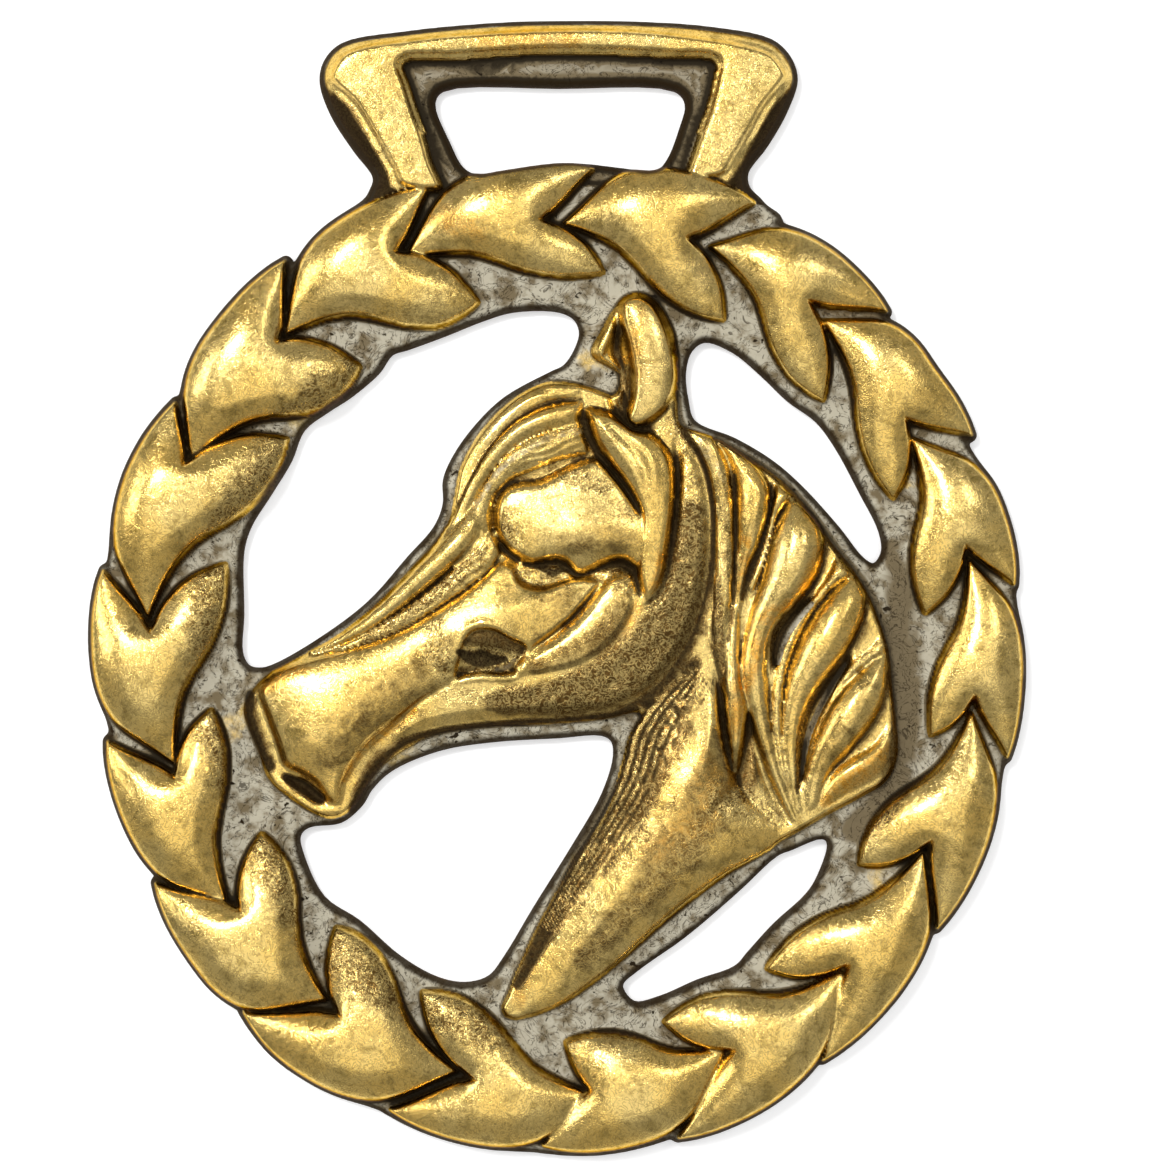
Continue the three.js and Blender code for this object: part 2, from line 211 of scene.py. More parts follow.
outerSide = [(0.09, 0.76), (0.16, 0.54), (0.25, 0.26), (0.34, 0.08), (0.46, -0.04), (0.62, -0.09),
    (0.8, -0.09), (0.93, -0.05)]
innerSide = [(0.08, 0.08), (0.2, 0.22), (0.32, 0.4), (0.42, 0.62), (0.5, 0.82), (0.6, 1), (0.75, 1.13),
    (0.9, 1.1)]
notchOuter = [(0.25, 0.14), (0.5, 0.38), (0.8, 0.75)]
notchInner = [(0.2, 0.07), (0.4, 0.19), (0.7, 0.48), (0.9, 0.8)]


def wobbleAt(turn):
    turns, offsets = np.array(wreath["wobble"], float).T
    return np.interp(turn, turns, offsets, period=360)


def onWreath(turn, depth):
    a = math.radians(turn)
    k = 1 - (depth - wobbleAt(turn) * max(0, 1 - depth / wreath["steady"])) / wreath["meanRadius"]
    x = wreath["x"] + wreath["halfWidth"] * k * math.cos(a)
    return x, wreath["y"] + wreath["halfHeight"] * k * math.sin(a)


def leafOutline(root, rootDepth, notchTurn, notchDepth, outTurn, outDepth, inTurn, inDepth):
    def fromNotch(turn, depth, shares):
        turns, depths = turn - notchTurn, depth - notchDepth
        return [(notchTurn + f * turns, notchDepth + depths * g) for f, g in shares]

    outer = [(f * outTurn, outDepth + (rootDepth - outDepth) * g) for f, g in outerSide]
    inner = [(f * inTurn, rootDepth + (inDepth - rootDepth) * g) for f, g in innerSide]
    start, notch = (0, rootDepth), (notchTurn, notchDepth)
    outTip, inTip = (outTurn, outDepth), (inTurn, inDepth)
    sides = [
        [start, *outer, outTip],
        [outTip, *fromNotch(outTurn, outDepth, notchOuter)[::-1], notch],
        [notch, *fromNotch(inTurn, inDepth, notchInner), inTip],
        [inTip, *inner[::-1], start],
    ]
    return np.vstack([curveThrough([onWreath(root - t, v) for t, v in side], 4)[:-1] for side in sides])


# the openings and the strap loop
openings = {
    "beforeFace": [(1.3, 19.2), (0.4, 17.8), (-0.6, 17.3), (-4.4, 15.2), (-7, 12.6), (-8.6, 10.2),
        (-9.2, 8.6), (-9.2, 6.8), (-9.9, 5), (-12, 2.6), (-15.2, -1), (-19.4, -4.1), (-22.6, -5.9),
        (-23.7, -6.2), (-24.6, -6), (-25.1, -5), (-25, -2), (-25, 3), (-24.4, 5), (-22.9, 7.4),
        (-21.2, 10.2), (-20.2, 12.6), (-18.4, 14), (-16.4, 15.3), (-14.2, 17.2), (-13.2, 18.6), (-12, 19),
        (-9, 20.1), (-6, 21.3), (-3.6, 22), (0, 22), (1.2, 21.4), (1.6, 20.4)],
    "behindEar": [(11.6, 19.6), (10.6, 18.9), (10.1, 17.2), (10.3, 15), (10.8, 13.4), (14, 12), (17, 10.2),
        (19.3, 8.2), (22.2, 5), (24.2, 2.5), (25, 2.1), (25.6, 3), (25.4, 4.6), (23.9, 7.6), (21.9, 11.3),
        (20.4, 13.3), (18.2, 14.9), (16, 17), (13.8, 18.8)],
    "underJaw": [(3.3, -11.6), (0, -11.8), (-5, -12.1), (-9.4, -12.8), (-13.2, -14.4), (-14.8, -15.9),
        (-15.6, -17.2), (-17.2, -18.5), (-19.8, -18.9), (-20.5, -19.6), (-20.2, -21.2), (-18.6, -24.4),
        (-15.8, -26.3), (-12.6, -29.1), (-9.6, -30.8), (-7.4, -31.2), (-5.6, -30.7), (-4.4, -29.2),
        (-2, -25.2), (1, -20.4), (3.4, -16.2), (4.3, -13.2), (4.1, -12)],
    "behindNeck": [(5.1, -31.4), (6.2, -30.3), (10, -27.6), (14, -24.2), (17.4, -21.1), (18.4, -20.7),
        (20.9, -19.8), (21.3, -20.2), (20.6, -22.6), (19.7, -24.1), (17, -26.6), (15, -28.8), (14, -29.9),
        (11, -31), (8, -32.3), (6, -32.7)],
    "strapSlot": [(-9.2, 39.55), (0, 39.8), (9.2, 39.55), (10, 38.6), (9.5, 36.4), (8.5, 33.95),
        (7.6, 33.1), (5, 33.4), (1, 33.75), (-4.6, 33), (-6.2, 32.8), (-7.5, 33.4), (-8.6, 35.4),
        (-9.8, 38.6)],
}
strapLoop = {
    "bevel": 0.95, "bevelWidth": 1.3,    # the outer side slopes up from the rim to the face
    "bevelFrom": 30.5, "legsTo": 36.0, "legsOut": 11.5,    # from the wreath up, outside the legs
    "bevelGrime": 0.6, "legGrime": 0.36, "legGrimeFrom": 41.0, "legGrimeOver": 3.0,
    "ledgeAsh": 0.7, "ledgeGrime": 0.3, "ledgeFoot": (0.25, 0.75), "ledgeRim": (0.45, 1),
    "form": {"foot": 1.7, "wall": 1.35, "wallWidth": 0.7, "rise": 0.16, "halfWidth": 2.4, "power": 1.2,
        "blend": 0.08},
    "edge": [(-15.4, 29.6), (-15, 31.4), (-14.7, 32.6), (-16.3, 34.8), (-18.1, 37.6), (-18.95, 40.2),
        (-18.6, 41.9), (-17.2, 43.3), (-12, 44.25), (-5, 44.9), (0, 45.05), (6, 45), (12, 44.6),
        (16.9, 43.6), (18.4, 42.2), (18.95, 40.4), (18.2, 38), (16.6, 35.2), (15, 33), (15.1, 31.7),
        (16, 30.7), (17.6, 29.3), (0, 20)],
    "outerFace": [(-12.6, 31.6), (-13.4, 33.1), (-15, 36), (-16.4, 38.2), (-18.2, 40), (-18.1, 41.2),
        (-17.3, 42.4), (-15.9, 43.1), (-12, 43.7), (-8, 44.15), (0, 44.55), (6, 44.45), (11, 43.95),
        (15, 43.25), (17, 42.5), (18, 41.3), (18.3, 40.4), (17.7, 39.4), (16.5, 37.9), (15.4, 35.9),
        (14.2, 33.8), (13.2, 32.4)],
    "innerFace": [(9.7, 32.2), (10.2, 34), (10.8, 35.8), (11.6, 38), (12.2, 40.4), (12.3, 41.6), (9, 41.9),
        (0, 42.25), (-8, 41.8), (-12.2, 41.5), (-11.8, 40), (-11.1, 37.8), (-10.3, 35.6), (-9.8, 33.8),
        (-9, 31.4)],
}

# the horse's head
headEdge = [(-24.9, -9.2), (-24.6, -10.8), (-23.8, -12.9), (-23.1, -14.9), (-21.5, -16.4), (-20, -17.4),
    (-18.4, -18.2), (-17, -18), (-15.9, -17), (-15.1, -15.6), (-13.8, -13.9), (-12, -12.6), (-9.5, -11.5),
    (-5, -10.9), (0, -10.7), (4, -10.3), (6.4, -9.9), (6.2, -12), (5.4, -14.5), (4.2, -17.5), (1.7, -21),
    (-0.7, -25), (-2.7, -28.8), (-3.9, -31.5), (-4.7, -33.2), (-3.8, -34.1), (-2, -33.8), (0, -33),
    (2, -31.8), (4.5, -29.9), (8.7, -26.2), (13, -22.9), (17.3, -20.2), (19.3, -19.1), (21, -18.1),
    (24, -16.5), (26, -15.2), (26.9, -13), (26.8, -10.5), (26.5, -8), (26.2, -5), (25.1, -1.5),
    (23.7, 1.2), (21.8, 3.6), (20, 6.2), (17.7, 8.7), (14.9, 10.7), (12, 12.2), (9.8, 13), (9.5, 15),
    (9.6, 18.3), (9, 21), (7.6, 23.1), (6.2, 23.6), (4.9, 23), (3.3, 20.6), (2.5, 18.6), (4.6, 17),
    (4.4, 15.6), (2.2, 16.2), (-0.5, 16.6), (-2.7, 15.8), (-4.8, 14.2), (-6.6, 12.1), (-7.9, 9.6),
    (-8.4, 7.2), (-8.9, 5.2), (-12, 1.5), (-15, -1.5), (-18, -3.8), (-20, -4.9), (-22.5, -6.3),
    (-23.9, -7.4)]
headBody = {"foot": 1.7, "wall": 0.75, "wallWidth": 0.45, "rise": 0.06, "halfWidth": 5.0, "power": 1.0,
    "blend": 0.08}

# raised forms: the wall round each, then how high it swells over the half width of its fullest part
headForms = {
    "cheek": {"foot": 2.45, "wall": 0.3, "wallWidth": 0.8, "rise": 1.25, "halfWidth": 7.5, "power": 1.0,
        "blend": 0.08,
        "outline": [(-13.4, -11.9), (-12.2, -9.9), (-10.2, -7.6), (-8, -5.6), (-5, -4.4), (-2.3, -4.2),
            (0, -2.8), (1.8, -1), (3.4, 0.8), (5, 1.6), (6.6, 1.8), (8.3, 4.5), (9, 8.5), (9.7, 11),
            (10.5, 11), (11.5, 8.4), (11.9, 5), (11.8, 2), (11.2, -1), (10.3, -3.6), (8.9, -6),
            (6.9, -8.1), (4.2, -9.4), (0, -9.9), (-5, -10.1), (-8, -10.4), (-10.3, -10.9),
            (-12.2, -11.8)]},
    "face": {"foot": 2.5, "wall": 0.5, "wallWidth": 0.6, "rise": 1.35, "halfWidth": 4.4, "power": 1.45,
        "blend": 0.15,
        "outline": [(-23.7, -7.9), (-23.1, -9.8), (-22.3, -12), (-21.6, -13.9), (-20.4, -14.5),
            (-19.2, -15.3), (-18.1, -16.8), (-17.3, -16.9), (-16.9, -15.2), (-16.1, -13.7), (-15, -12.2),
            (-13.2, -10.7), (-11, -9.1), (-9, -7.9), (-7.5, -7), (-5, -6.8), (-3.2, -6.4), (-1.6, -4.7),
            (0.1, -3.4), (1.6, -2), (2.8, -0.5), (3.4, 0.6), (2, 1.1), (0.2, 0.8), (-1.4, 0.3),
            (-2.8, 0.7), (-3.4, 1.9), (-4.6, 2.3), (-6.1, 1.1), (-8, -0.4), (-10, -1.7), (-12, -2.9),
            (-15, -4.1), (-18, -4.9), (-20.5, -5.6), (-22.6, -6.6)]},
    "cheekBand": {"laidOn": True, "wall": 0.14, "wallWidth": 0.45, "rise": 0.16, "halfWidth": 1.7,
        "power": 1.2,
        "outline": [(4.3, 0.9), (3.2, -0.2), (2.6, -1), (1.4, -2.5), (-0.1, -3.8), (-2, -5), (-3.5, -6.1),
            (-3.3, -6.7), (-2, -6.7), (0, -6.3), (2, -5.7), (3.6, -4.5), (5, -3), (5.8, -1.4), (5.7, 0),
            (5.2, 0.9)]},
    "brow": {"foot": 2.9, "wall": 0.3, "wallWidth": 0.4, "rise": 0.9, "halfWidth": 4.2, "power": 1.2,
        "blend": 0.2,
        "outline": [(-4.9, 5.2), (-4.8, 6.7), (-4.2, 7.8), (-3, 8.3), (-1.4, 8.5), (0, 9.2), (1.6, 9.9),
            (3, 10.2), (4.2, 9.2), (5.4, 7.8), (6.4, 6.3), (7.6, 4.6), (7.2, 2.6), (6.2, 1.9), (5.5, 2.4),
            (4.6, 2.5), (3.4, 2.1), (2.4, 1.6), (1.6, 1.4), (0.9, 2), (0.1, 2.5), (-0.9, 2.4), (-2.1, 2.2),
            (-3, 2.6), (-3.9, 3.2), (-4.6, 4.2)]},
    "hangingLock": {"foot": 2.95, "wall": 0.55, "wallWidth": 0.5, "rise": 0.7, "halfWidth": 1.9,
        "power": 1.15, "blend": 0.1,
        "outline": [(2.3, 14.2), (2.5, 12.9), (3.1, 11.4), (4.1, 9.9), (5.1, 8.5), (5.9, 7.2), (6.4, 5.8),
            (6.4, 4), (6.2, 2.4), (6.2, 1), (6.5, -0.2), (6.7, -0.9), (7.3, -0.7), (7.9, 0), (8.4, 1.4),
            (8.6, 3), (8.9, 5), (9.1, 7), (9.1, 9), (8.8, 10.4), (8, 11.6), (7.1, 12.3), (6, 12.6),
            (5, 13.3), (4, 13.9), (3, 14.1)]},
    "ear": {"foot": 2.3, "wall": 0.8, "wallWidth": 0.5, "rise": 1.05, "halfWidth": 2.0, "power": 1.1,
        "blend": 0.08,
        "outline": [(4.9, 22.8), (6.1, 23.3), (7.3, 22.8), (8.5, 21), (9.3, 18.3), (9.3, 15.8), (8.4, 14),
            (7.1, 13), (6, 12.6), (5.2, 13.2), (5.5, 14.6), (5.7, 15.9), (5.6, 17.6), (5.2, 19.6),
            (4.8, 21.2)]},
    "earBack": {"foot": 2.2, "wall": 0.5, "wallWidth": 0.3, "rise": 0.2, "halfWidth": 0.6, "power": 1.0,
        "blend": 0.06,
        "outline": [(4.4, 21.9), (3.5, 20.4), (2.9, 18.8), (3.4, 18.1), (4, 19.2), (4.5, 20.6)]},
}

hair = {"power": 1.25, "blend": 0.06, "reach": 12.0, "waver": 0.35}
# hair and muscle: each lies between a left and a right line; tilt raises its right side over its left,
# lines are the combed grooves along it, as far across as linesTo, and cut is their depth
bands = {
    "neck": {"foot": 2.2, "rise": 1.6, "halfWidth": 4.6, "tilt": 0.25, "lines": 8, "linesTo": 0.3,
        "cut": 0.1,
        "left": [(7, -9.4), (5.6, -11.6), (4.9, -14), (3.9, -17.2), (1.5, -21), (-0.8, -25), (-2.7, -28.8),
            (-3.9, -31.6), (-4.3, -33.8)],
        "right": [(12, -5.5), (13.2, -10.5), (13.9, -14.2), (15.5, -17), (17.6, -18.6), (17.3, -20),
            (13, -22.7), (8.7, -26), (4.5, -29.7), (2, -31.6), (0, -32.9), (-3.3, -33.95)]},
    "neckFan": {"foot": 2.35, "rise": 0.85, "halfWidth": 2.6, "tilt": 0.3, "lines": 7, "cut": 0.13,
        "left": [(11.9, -3.6), (10.3, -6), (8.3, -8.4), (6.8, -10.2), (5.8, -12.6), (5, -15.2)],
        "right": [(12.2, -3.9), (12.7, -7.4), (12.2, -10.4), (9.6, -13.6), (5.4, -16.4)]},
    "maneRoot": {"foot": 2.6, "rise": 0.7, "halfWidth": 0.9, "lines": 2, "cut": 0.1,
        "left": [(9.6, 12.9), (11.4, 10.2), (12.2, 7), (12.4, 3), (12.2, -1), (12.2, -4), (12.8, -8)],
        "right": [(12.2, 12), (13.3, 9.6), (13.8, 6), (13.8, 2), (13.5, -2), (13.2, -5), (13, -8.2)]},
    "neckRidge": {"foot": 2.5, "rise": 1.0, "halfWidth": 0.9,
        "left": [(13.7, -1), (13.2, -4), (13, -7.4), (13.2, -10.6), (13.6, -13.6), (13.9, -14.8)],
        "right": [(14.2, -1), (14.2, -4), (14.4, -7), (14.9, -9.4), (14.7, -11.6), (14.2, -14.4)]},
    "lockA": {"foot": 2.6, "rise": 1.4, "halfWidth": 1.35, "tilt": 0.2, "lines": 1, "cut": 0.06,
        "left": [(12.3, 11.9), (13.4, 10.6), (14, 8.4), (14.1, 5.6), (14, 3), (14, 0.8), (14, -1.6)],
        "right": [(12.6, 11.8), (14.5, 10.6), (15.9, 9.3), (16.6, 8), (16.6, 6.4), (16.2, 4.8),
            (15.7, 3.4), (15, 1.8), (14.6, 0), (14.3, -1.8)]},
    "strandB": {"foot": 2.5, "rise": 0.75, "halfWidth": 0.5,
        "left": [(17.2, 8.4), (16.8, 6.6), (16.5, 4.8), (16.1, 3.2), (15.6, 1.8), (14.9, 0.2)],
        "right": [(18.4, 7.5), (17.3, 5.8), (16.8, 4.4), (16.4, 2.8), (15.9, 1.2), (15.1, -0.6)]},
    "lockB": {"foot": 2.5, "rise": 1.6, "halfWidth": 1.8, "tilt": 0.1,
        "left": [(18.2, 7), (17.4, 5.6), (16.8, 4.2), (16.4, 2.6), (16, 0.9), (15.4, -0.9), (14.8, -3),
            (14.4, -5.5), (14.5, -8), (15.2, -10.4), (16, -12.8), (17, -15.4), (18.4, -18.4)],
        "right": [(18.8, 6.9), (19.9, 6), (20.7, 4.8), (20.9, 3.4), (20.6, 1.8), (19.8, 0.2), (18.6, -1.3),
            (17.4, -2.5), (16.7, -3.8), (16.4, -5.4), (16.4, -7.4), (16.6, -9.8), (17, -12.6),
            (17.8, -15.6), (18.8, -18.2)]},
    "strandC": {"foot": 2.4, "rise": 0.7, "halfWidth": 0.5, "lines": 1, "cut": 0.08,
        "left": [(22, 2.6), (21, 0.6), (19.8, -0.9), (18.6, -2.5), (17.6, -4.6), (17.1, -6.8),
            (16.8, -9.6), (17.1, -12.4), (17.7, -15)],
        "right": [(23.2, 1.2), (22, 0.4), (20.7, -0.9), (19.6, -2.5), (18.6, -4.6), (17.9, -6.8),
            (17.6, -9.6), (17.7, -12.4), (18.1, -15)]},
    "lockC": {"foot": 2.5, "rise": 1.5, "halfWidth": 1.75,
        "left": [(23, 1), (22, 0.2), (20.9, -1), (19.8, -2.6), (18.9, -4.4), (18.2, -6.4), (17.8, -8.6),
            (17.7, -11.2), (17.9, -13.6), (18.4, -15.8), (18.8, -17.8)],
        "right": [(23.4, 0.9), (24, 0), (24.2, -1.2), (23.8, -2.8), (23, -4.4), (21.8, -6), (20.7, -7.4),
            (19.8, -8.8), (19.1, -10.6), (18.8, -12.6), (18.8, -14.8), (19.1, -17.6)]},
    "strandD": {"foot": 2.3, "rise": 0.6, "halfWidth": 0.5, "lines": 1, "cut": 0.08,
        "left": [(25.4, -3.4), (24.6, -4.8), (23.3, -5.6), (22.2, -6.8), (21.4, -8.2)],
        "right": [(26, -4.8), (25, -5.4), (23.8, -6.4), (22.8, -7.4), (21.7, -8.6)]},
    "lockD": {"foot": 2.45, "rise": 1.45, "halfWidth": 1.8,
        "left": [(25.4, -5.2), (24, -6.3), (22.6, -7.6), (21.6, -9), (20.8, -10.6), (20.1, -12.2),
            (19.7, -13.8), (19.5, -15.6), (19.6, -17.6)],
        "right": [(25.8, -5.4), (25.9, -6.8), (25.6, -8.6), (24.9, -10.2), (23.9, -11.6), (22.7, -12.9),
            (21.6, -14.1), (20.8, -15.4), (20.4, -17)]},
    "lockE": {"foot": 2.35, "rise": 1.1, "halfWidth": 1.5, "tilt": -0.4,
        "left": [(26.3, -9.8), (25, -12.2), (23.2, -13.3), (21.8, -14.4), (21, -15.8), (20.4, -17.6)],
        "right": [(26.5, -10.6), (26.4, -12.8), (25.7, -14.4), (24.2, -15.4), (22.6, -16.2),
            (20.9, -17.4)]},
    "hairRoot": {"foot": 2.35, "rise": 0.6, "halfWidth": 0.8, "lines": 1, "cut": 0.08,
        "left": [(1.8, 16.2), (-0.5, 16.1), (-2.5, 15.3), (-4.6, 13.7), (-6.2, 11.8), (-7.4, 9.4),
            (-8.2, 6.9)],
        "right": [(1.8, 15.2), (-0.8, 14.8), (-3.2, 13.6), (-5.3, 11.5), (-6.9, 8.9), (-8, 6.4)]},
    "forelock": {"foot": 2.5, "rise": 1.25, "halfWidth": 1.2, "tilt": -0.15,
        "left": [(2, 14.9), (-0.8, 14.5), (-3.3, 13.3), (-5.4, 11.2), (-7, 8.6), (-8.3, 5.8), (-10.2, 3)],
        "right": [(1.5, 12.9), (-0.5, 12.5), (-2.7, 11.6), (-4.6, 10), (-6.2, 7.8), (-7.4, 5.4),
            (-9.4, 2.2)]},
    "forelockUnder": {"foot": 2.75, "rise": 0.65, "halfWidth": 1.2, "tilt": -0.4, "lines": 3, "cut": 0.13,
        "left": [(1.6, 13.2), (-0.5, 12.6), (-2.8, 11.6), (-4.6, 10), (-6, 7.8), (-7, 5.6), (-8, 3.8)],
        "right": [(2.3, 10.8), (0.4, 10.4), (-1.8, 9.6), (-3.8, 8.7), (-5, 7.4), (-5.4, 5.4),
            (-5.2, 3.6)]},
    "noseLock": {"foot": 2.5, "rise": 1.15, "halfWidth": 1.05,
        "left": [(-6.5, 7), (-8.2, 5), (-9.2, 4), (-12, 1), (-15, -1.9), (-18, -4.1), (-20, -5)],
        "right": [(-6.2, 6.9), (-5.9, 5.2), (-6.9, 3.2), (-9, 1.2), (-12, -1.2), (-15, -3.3),
            (-18.8, -4.9)]},
    "noseStrip": {"foot": 2.85, "rise": 0.35, "halfWidth": 0.9, "lines": 2, "cut": 0.12,
        "left": [(-5.1, 4.8), (-6.9, 3.5), (-9, 1), (-12, -1.4), (-15, -3.4), (-17.6, -4.7)],
        "right": [(-4.8, 4.5), (-4.8, 2.6), (-6, 1.1), (-8, -0.4), (-12, -2.9), (-15, -4.1), (-18, -4.9)]},
    "lip": {"foot": 2.3, "rise": 0.4, "halfWidth": 0.5,
        "left": [(-23.2, -13.4), (-22.6, -15.2), (-20.9, -16.6), (-19.3, -17.6), (-17.2, -17.6)],
        "right": [(-22.5, -13.6), (-21.9, -14.9), (-20.4, -16.1), (-18.9, -17.1), (-17.2, -16.9)]},
}

# grooves along a line: x, y, half width, depth (a negative depth is a ridge)
cuts = {
    "creaseUpper": [(3.8, 0.7, 0.16, 0.05), (2.5, -0.6, 0.2, 0.11), (1.2, -2.1, 0.2, 0.12),
        (-0.4, -3.4, 0.2, 0.1), (-2.2, -4.7, 0.16, 0.05)],
    "creaseLip": [(3.2, 0.6, 0.2, -0.04), (2.1, -0.5, 0.22, -0.09), (0.8, -2, 0.22, -0.1),
        (-0.7, -3.2, 0.22, -0.08), (-2.2, -4.2, 0.2, -0.03)],
    "creaseLower": [(6.2, -0.9, 0.2, 0.05), (5.4, -3, 0.3, 0.08), (3.9, -4.7, 0.3, 0.08),
        (1.6, -6, 0.3, 0.06), (-1, -6.8, 0.3, 0.03)],
    "jawLine": [(-17, -15.9, 0.2, -0.03), (-16.3, -14.3, 0.24, -0.08), (-15.1, -12.5, 0.24, -0.1),
        (-13.2, -10.8, 0.24, -0.1), (-11.2, -9.3, 0.22, -0.09), (-8.6, -7.9, 0.2, -0.04)],
    "upperLid": [(-8.3, -4.6, 0.2, -0.03), (-7.4, -3.2, 0.24, -0.09), (-6.1, -2.6, 0.26, -0.13),
        (-4.9, -2.8, 0.26, -0.13), (-3.7, -3.4, 0.24, -0.1), (-2.5, -4, 0.2, -0.04)],
    "lowerRim": [(-8.4, -7.5, 0.18, -0.05), (-7.1, -7.1, 0.2, -0.14), (-5.6, -6.95, 0.2, -0.16),
        (-4, -7, 0.2, -0.16), (-3.1, -6.7, 0.2, -0.14), (-2.5, -5.6, 0.2, -0.12),
        (-2.1, -4.7, 0.18, -0.05)],
    "eyeball": [(-7.3, -4.3, 0.4, -0.04), (-6.2, -4, 0.6, -0.18), (-4.8, -4.2, 0.6, -0.18),
        (-3.4, -4.8, 0.4, -0.06)],
    "eyeLedge": [(-4, -6.3, 0.3, -0.18), (-3.5, -5.6, 0.35, -0.2), (-3.2, -5, 0.3, -0.08)],
    "eyePit": [(-7.5, -4.9, 0.3, 0.1), (-6.7, -5.5, 0.35, 0.2), (-6, -5.2, 0.3, 0.3),
        (-5.2, -5.6, 0.3, 0.3), (-4.5, -5.5, 0.25, 0.2)],
    "neckSlit": [(12.5, -6.4, 0.15, 0.1), (12.8, -9.2, 0.2, 0.35), (13.1, -11.6, 0.22, 0.4),
        (13.7, -14.3, 0.2, 0.1)],
    "hollowLeft": [(15, -9.9, 0.15, 0.2), (14.9, -12, 0.4, 0.5), (14.3, -14.8, 0.6, 0.5),
        (13.3, -16.4, 0.5, 0.35), (12.2, -17.2, 0.3, 0.1)],
    "hollowRight": [(15.1, -10.2, 0.15, 0.2), (15.7, -13, 0.4, 0.45), (16.6, -15.6, 0.45, 0.4),
        (18.1, -18.2, 0.4, 0.2)],
    "lockSlit": [(2.2, 13.4, 0.2, 0.1), (2.4, 12, 0.2, 0.16), (3.3, 10.3, 0.2, 0.18),
        (4.6, 8.7, 0.2, 0.24), (5.6, 7.3, 0.18, 0.24), (6.3, 6.1, 0.14, 0.1)],
    "lockGroove": [(4.4, 12.6, 0.2, 0.06), (5.8, 11.2, 0.24, 0.12), (6.7, 9.6, 0.24, 0.14),
        (7, 8, 0.2, 0.08)],
    "lockRidge": [(2.9, 13.6, 0.3, -0.05), (3.7, 12.5, 0.42, -0.16), (5, 10.7, 0.42, -0.2),
        (5.9, 9.3, 0.4, -0.16), (6.4, 7.8, 0.3, -0.05)],
    "lockRidgeBehind": [(6, 12.2, 0.3, -0.05), (6.9, 11, 0.34, -0.14), (7.5, 9.6, 0.34, -0.16),
        (7.6, 8.2, 0.3, -0.07)],
    "earBase": [(4.2, 15.2, 0.3, 0.3), (4.6, 14.2, 0.35, 0.4), (5.1, 13.3, 0.3, 0.35),
        (6.2, 12.5, 0.2, 0.15), (7.6, 12.7, 0.2, 0.15)],
    "behindLock": [(9.3, 11.6, 0.25, 0.2), (9.5, 9, 0.28, 0.35), (9.3, 6, 0.28, 0.4), (9, 3.2, 0.28, 0.35),
        (8.6, 1, 0.28, 0.3), (7.9, -0.6, 0.25, 0.25), (6.9, -1.3, 0.2, 0.2)],
    "browSwell": [(0.2, 4, 1.9, -0.3), (1.8, 4.2, 2.1, -0.42), (4.2, 4.4, 2, -0.42),
        (5.6, 4.2, 1.6, -0.3)],
    "neckCrest": [(12.2, -9, 0.5, -0.06), (11.7, -12.4, 0.7, -0.22), (10, -16, 0.9, -0.12),
        (7.2, -20.4, 0.9, -0.12), (3.8, -25, 0.75, -0.24), (0.4, -29.8, 0.6, -0.1)],
    "faceSwell": [(-7.4, -3.2, 0.9, -0.06), (-5.6, -2.5, 1.2, -0.2), (-4, -1.8, 1.2, -0.2),
        (-2.6, -1.2, 0.9, -0.06)],
    "muzzleSwell": [(-19.2, -11.6, 1.6, -0.22), (-17.4, -10, 1.8, -0.16), (-14, -8.2, 1.4, -0.05)],
    "browLeft": [(-5.2, 7.2, 0.3, 0.08), (-5.3, 5.8, 0.28, 0.18), (-5.1, 4.4, 0.28, 0.22),
        (-4.4, 3.2, 0.26, 0.24), (-3.3, 2.3, 0.24, 0.24)],
    "underBrow": [(-2.6, 1.9, 0.22, 0.2), (-1, 2, 0.28, 0.36), (0.3, 1.9, 0.26, 0.34),
        (1.5, 1.1, 0.2, 0.2), (3.2, 1.6, 0.24, 0.26), (4.8, 2, 0.3, 0.38), (5.8, 1.4, 0.3, 0.4),
        (6.3, -0.1, 0.26, 0.3)],
}

# hollows: outline, depth, width of the slope round it
hollows = {
    "eye": {"depth": 0.55, "slope": 0.28, "outline":
        [(-8.2, -7), (-7.9, -5.2), (-7.5, -4), (-6.9, -3.2), (-6, -2.95), (-4.9, -3.1), (-3.8, -3.7),
            (-2.7, -4.2), (-2.4, -4.6), (-2.8, -5.5), (-3.3, -6.1), (-3.4, -6.6), (-4.4, -6.7), (-6, -6.6),
            (-7.2, -6.8)]},
    "nostril": {"depth": 0.5, "slope": 0.5, "outline":
        [(-21.9, -14.5), (-21.2, -14.6), (-20.2, -14.8), (-19.1, -15.6), (-18.2, -16.8), (-19.2, -16.9),
            (-20.3, -16.1), (-21.3, -15.3)]},
    "earHollow": {"depth": 0.5, "slope": 0.5, "outline":
        [(5.3, 13.8), (5.5, 15.8), (5.5, 17.6), (5.1, 19.4), (4.7, 21.2), (4.3, 20.2), (3.9, 18.6),
            (4.5, 17.4), (4.9, 16), (4.8, 14.6)]},
    "gapBC": {"depth": 0.45, "slope": 0.3, "outline":
        [(20.6, -0.2), (19.6, -0.7), (18.4, -1.8), (17.3, -3), (16.8, -4.4), (16.9, -6.2), (17.2, -6.2),
            (17.6, -4.8), (18.4, -3), (19.6, -1.4)]},
    "gapCD": {"depth": 0.5, "slope": 0.3, "outline":
        [(23.2, -4.8), (21.9, -6.2), (20.7, -7.7), (19.7, -9.4), (19.1, -11.4), (18.9, -14), (19, -16.2),
            (19.5, -14.4), (19.9, -12.2), (20.8, -10), (21.7, -8.2), (22.8, -6.4)]},
}

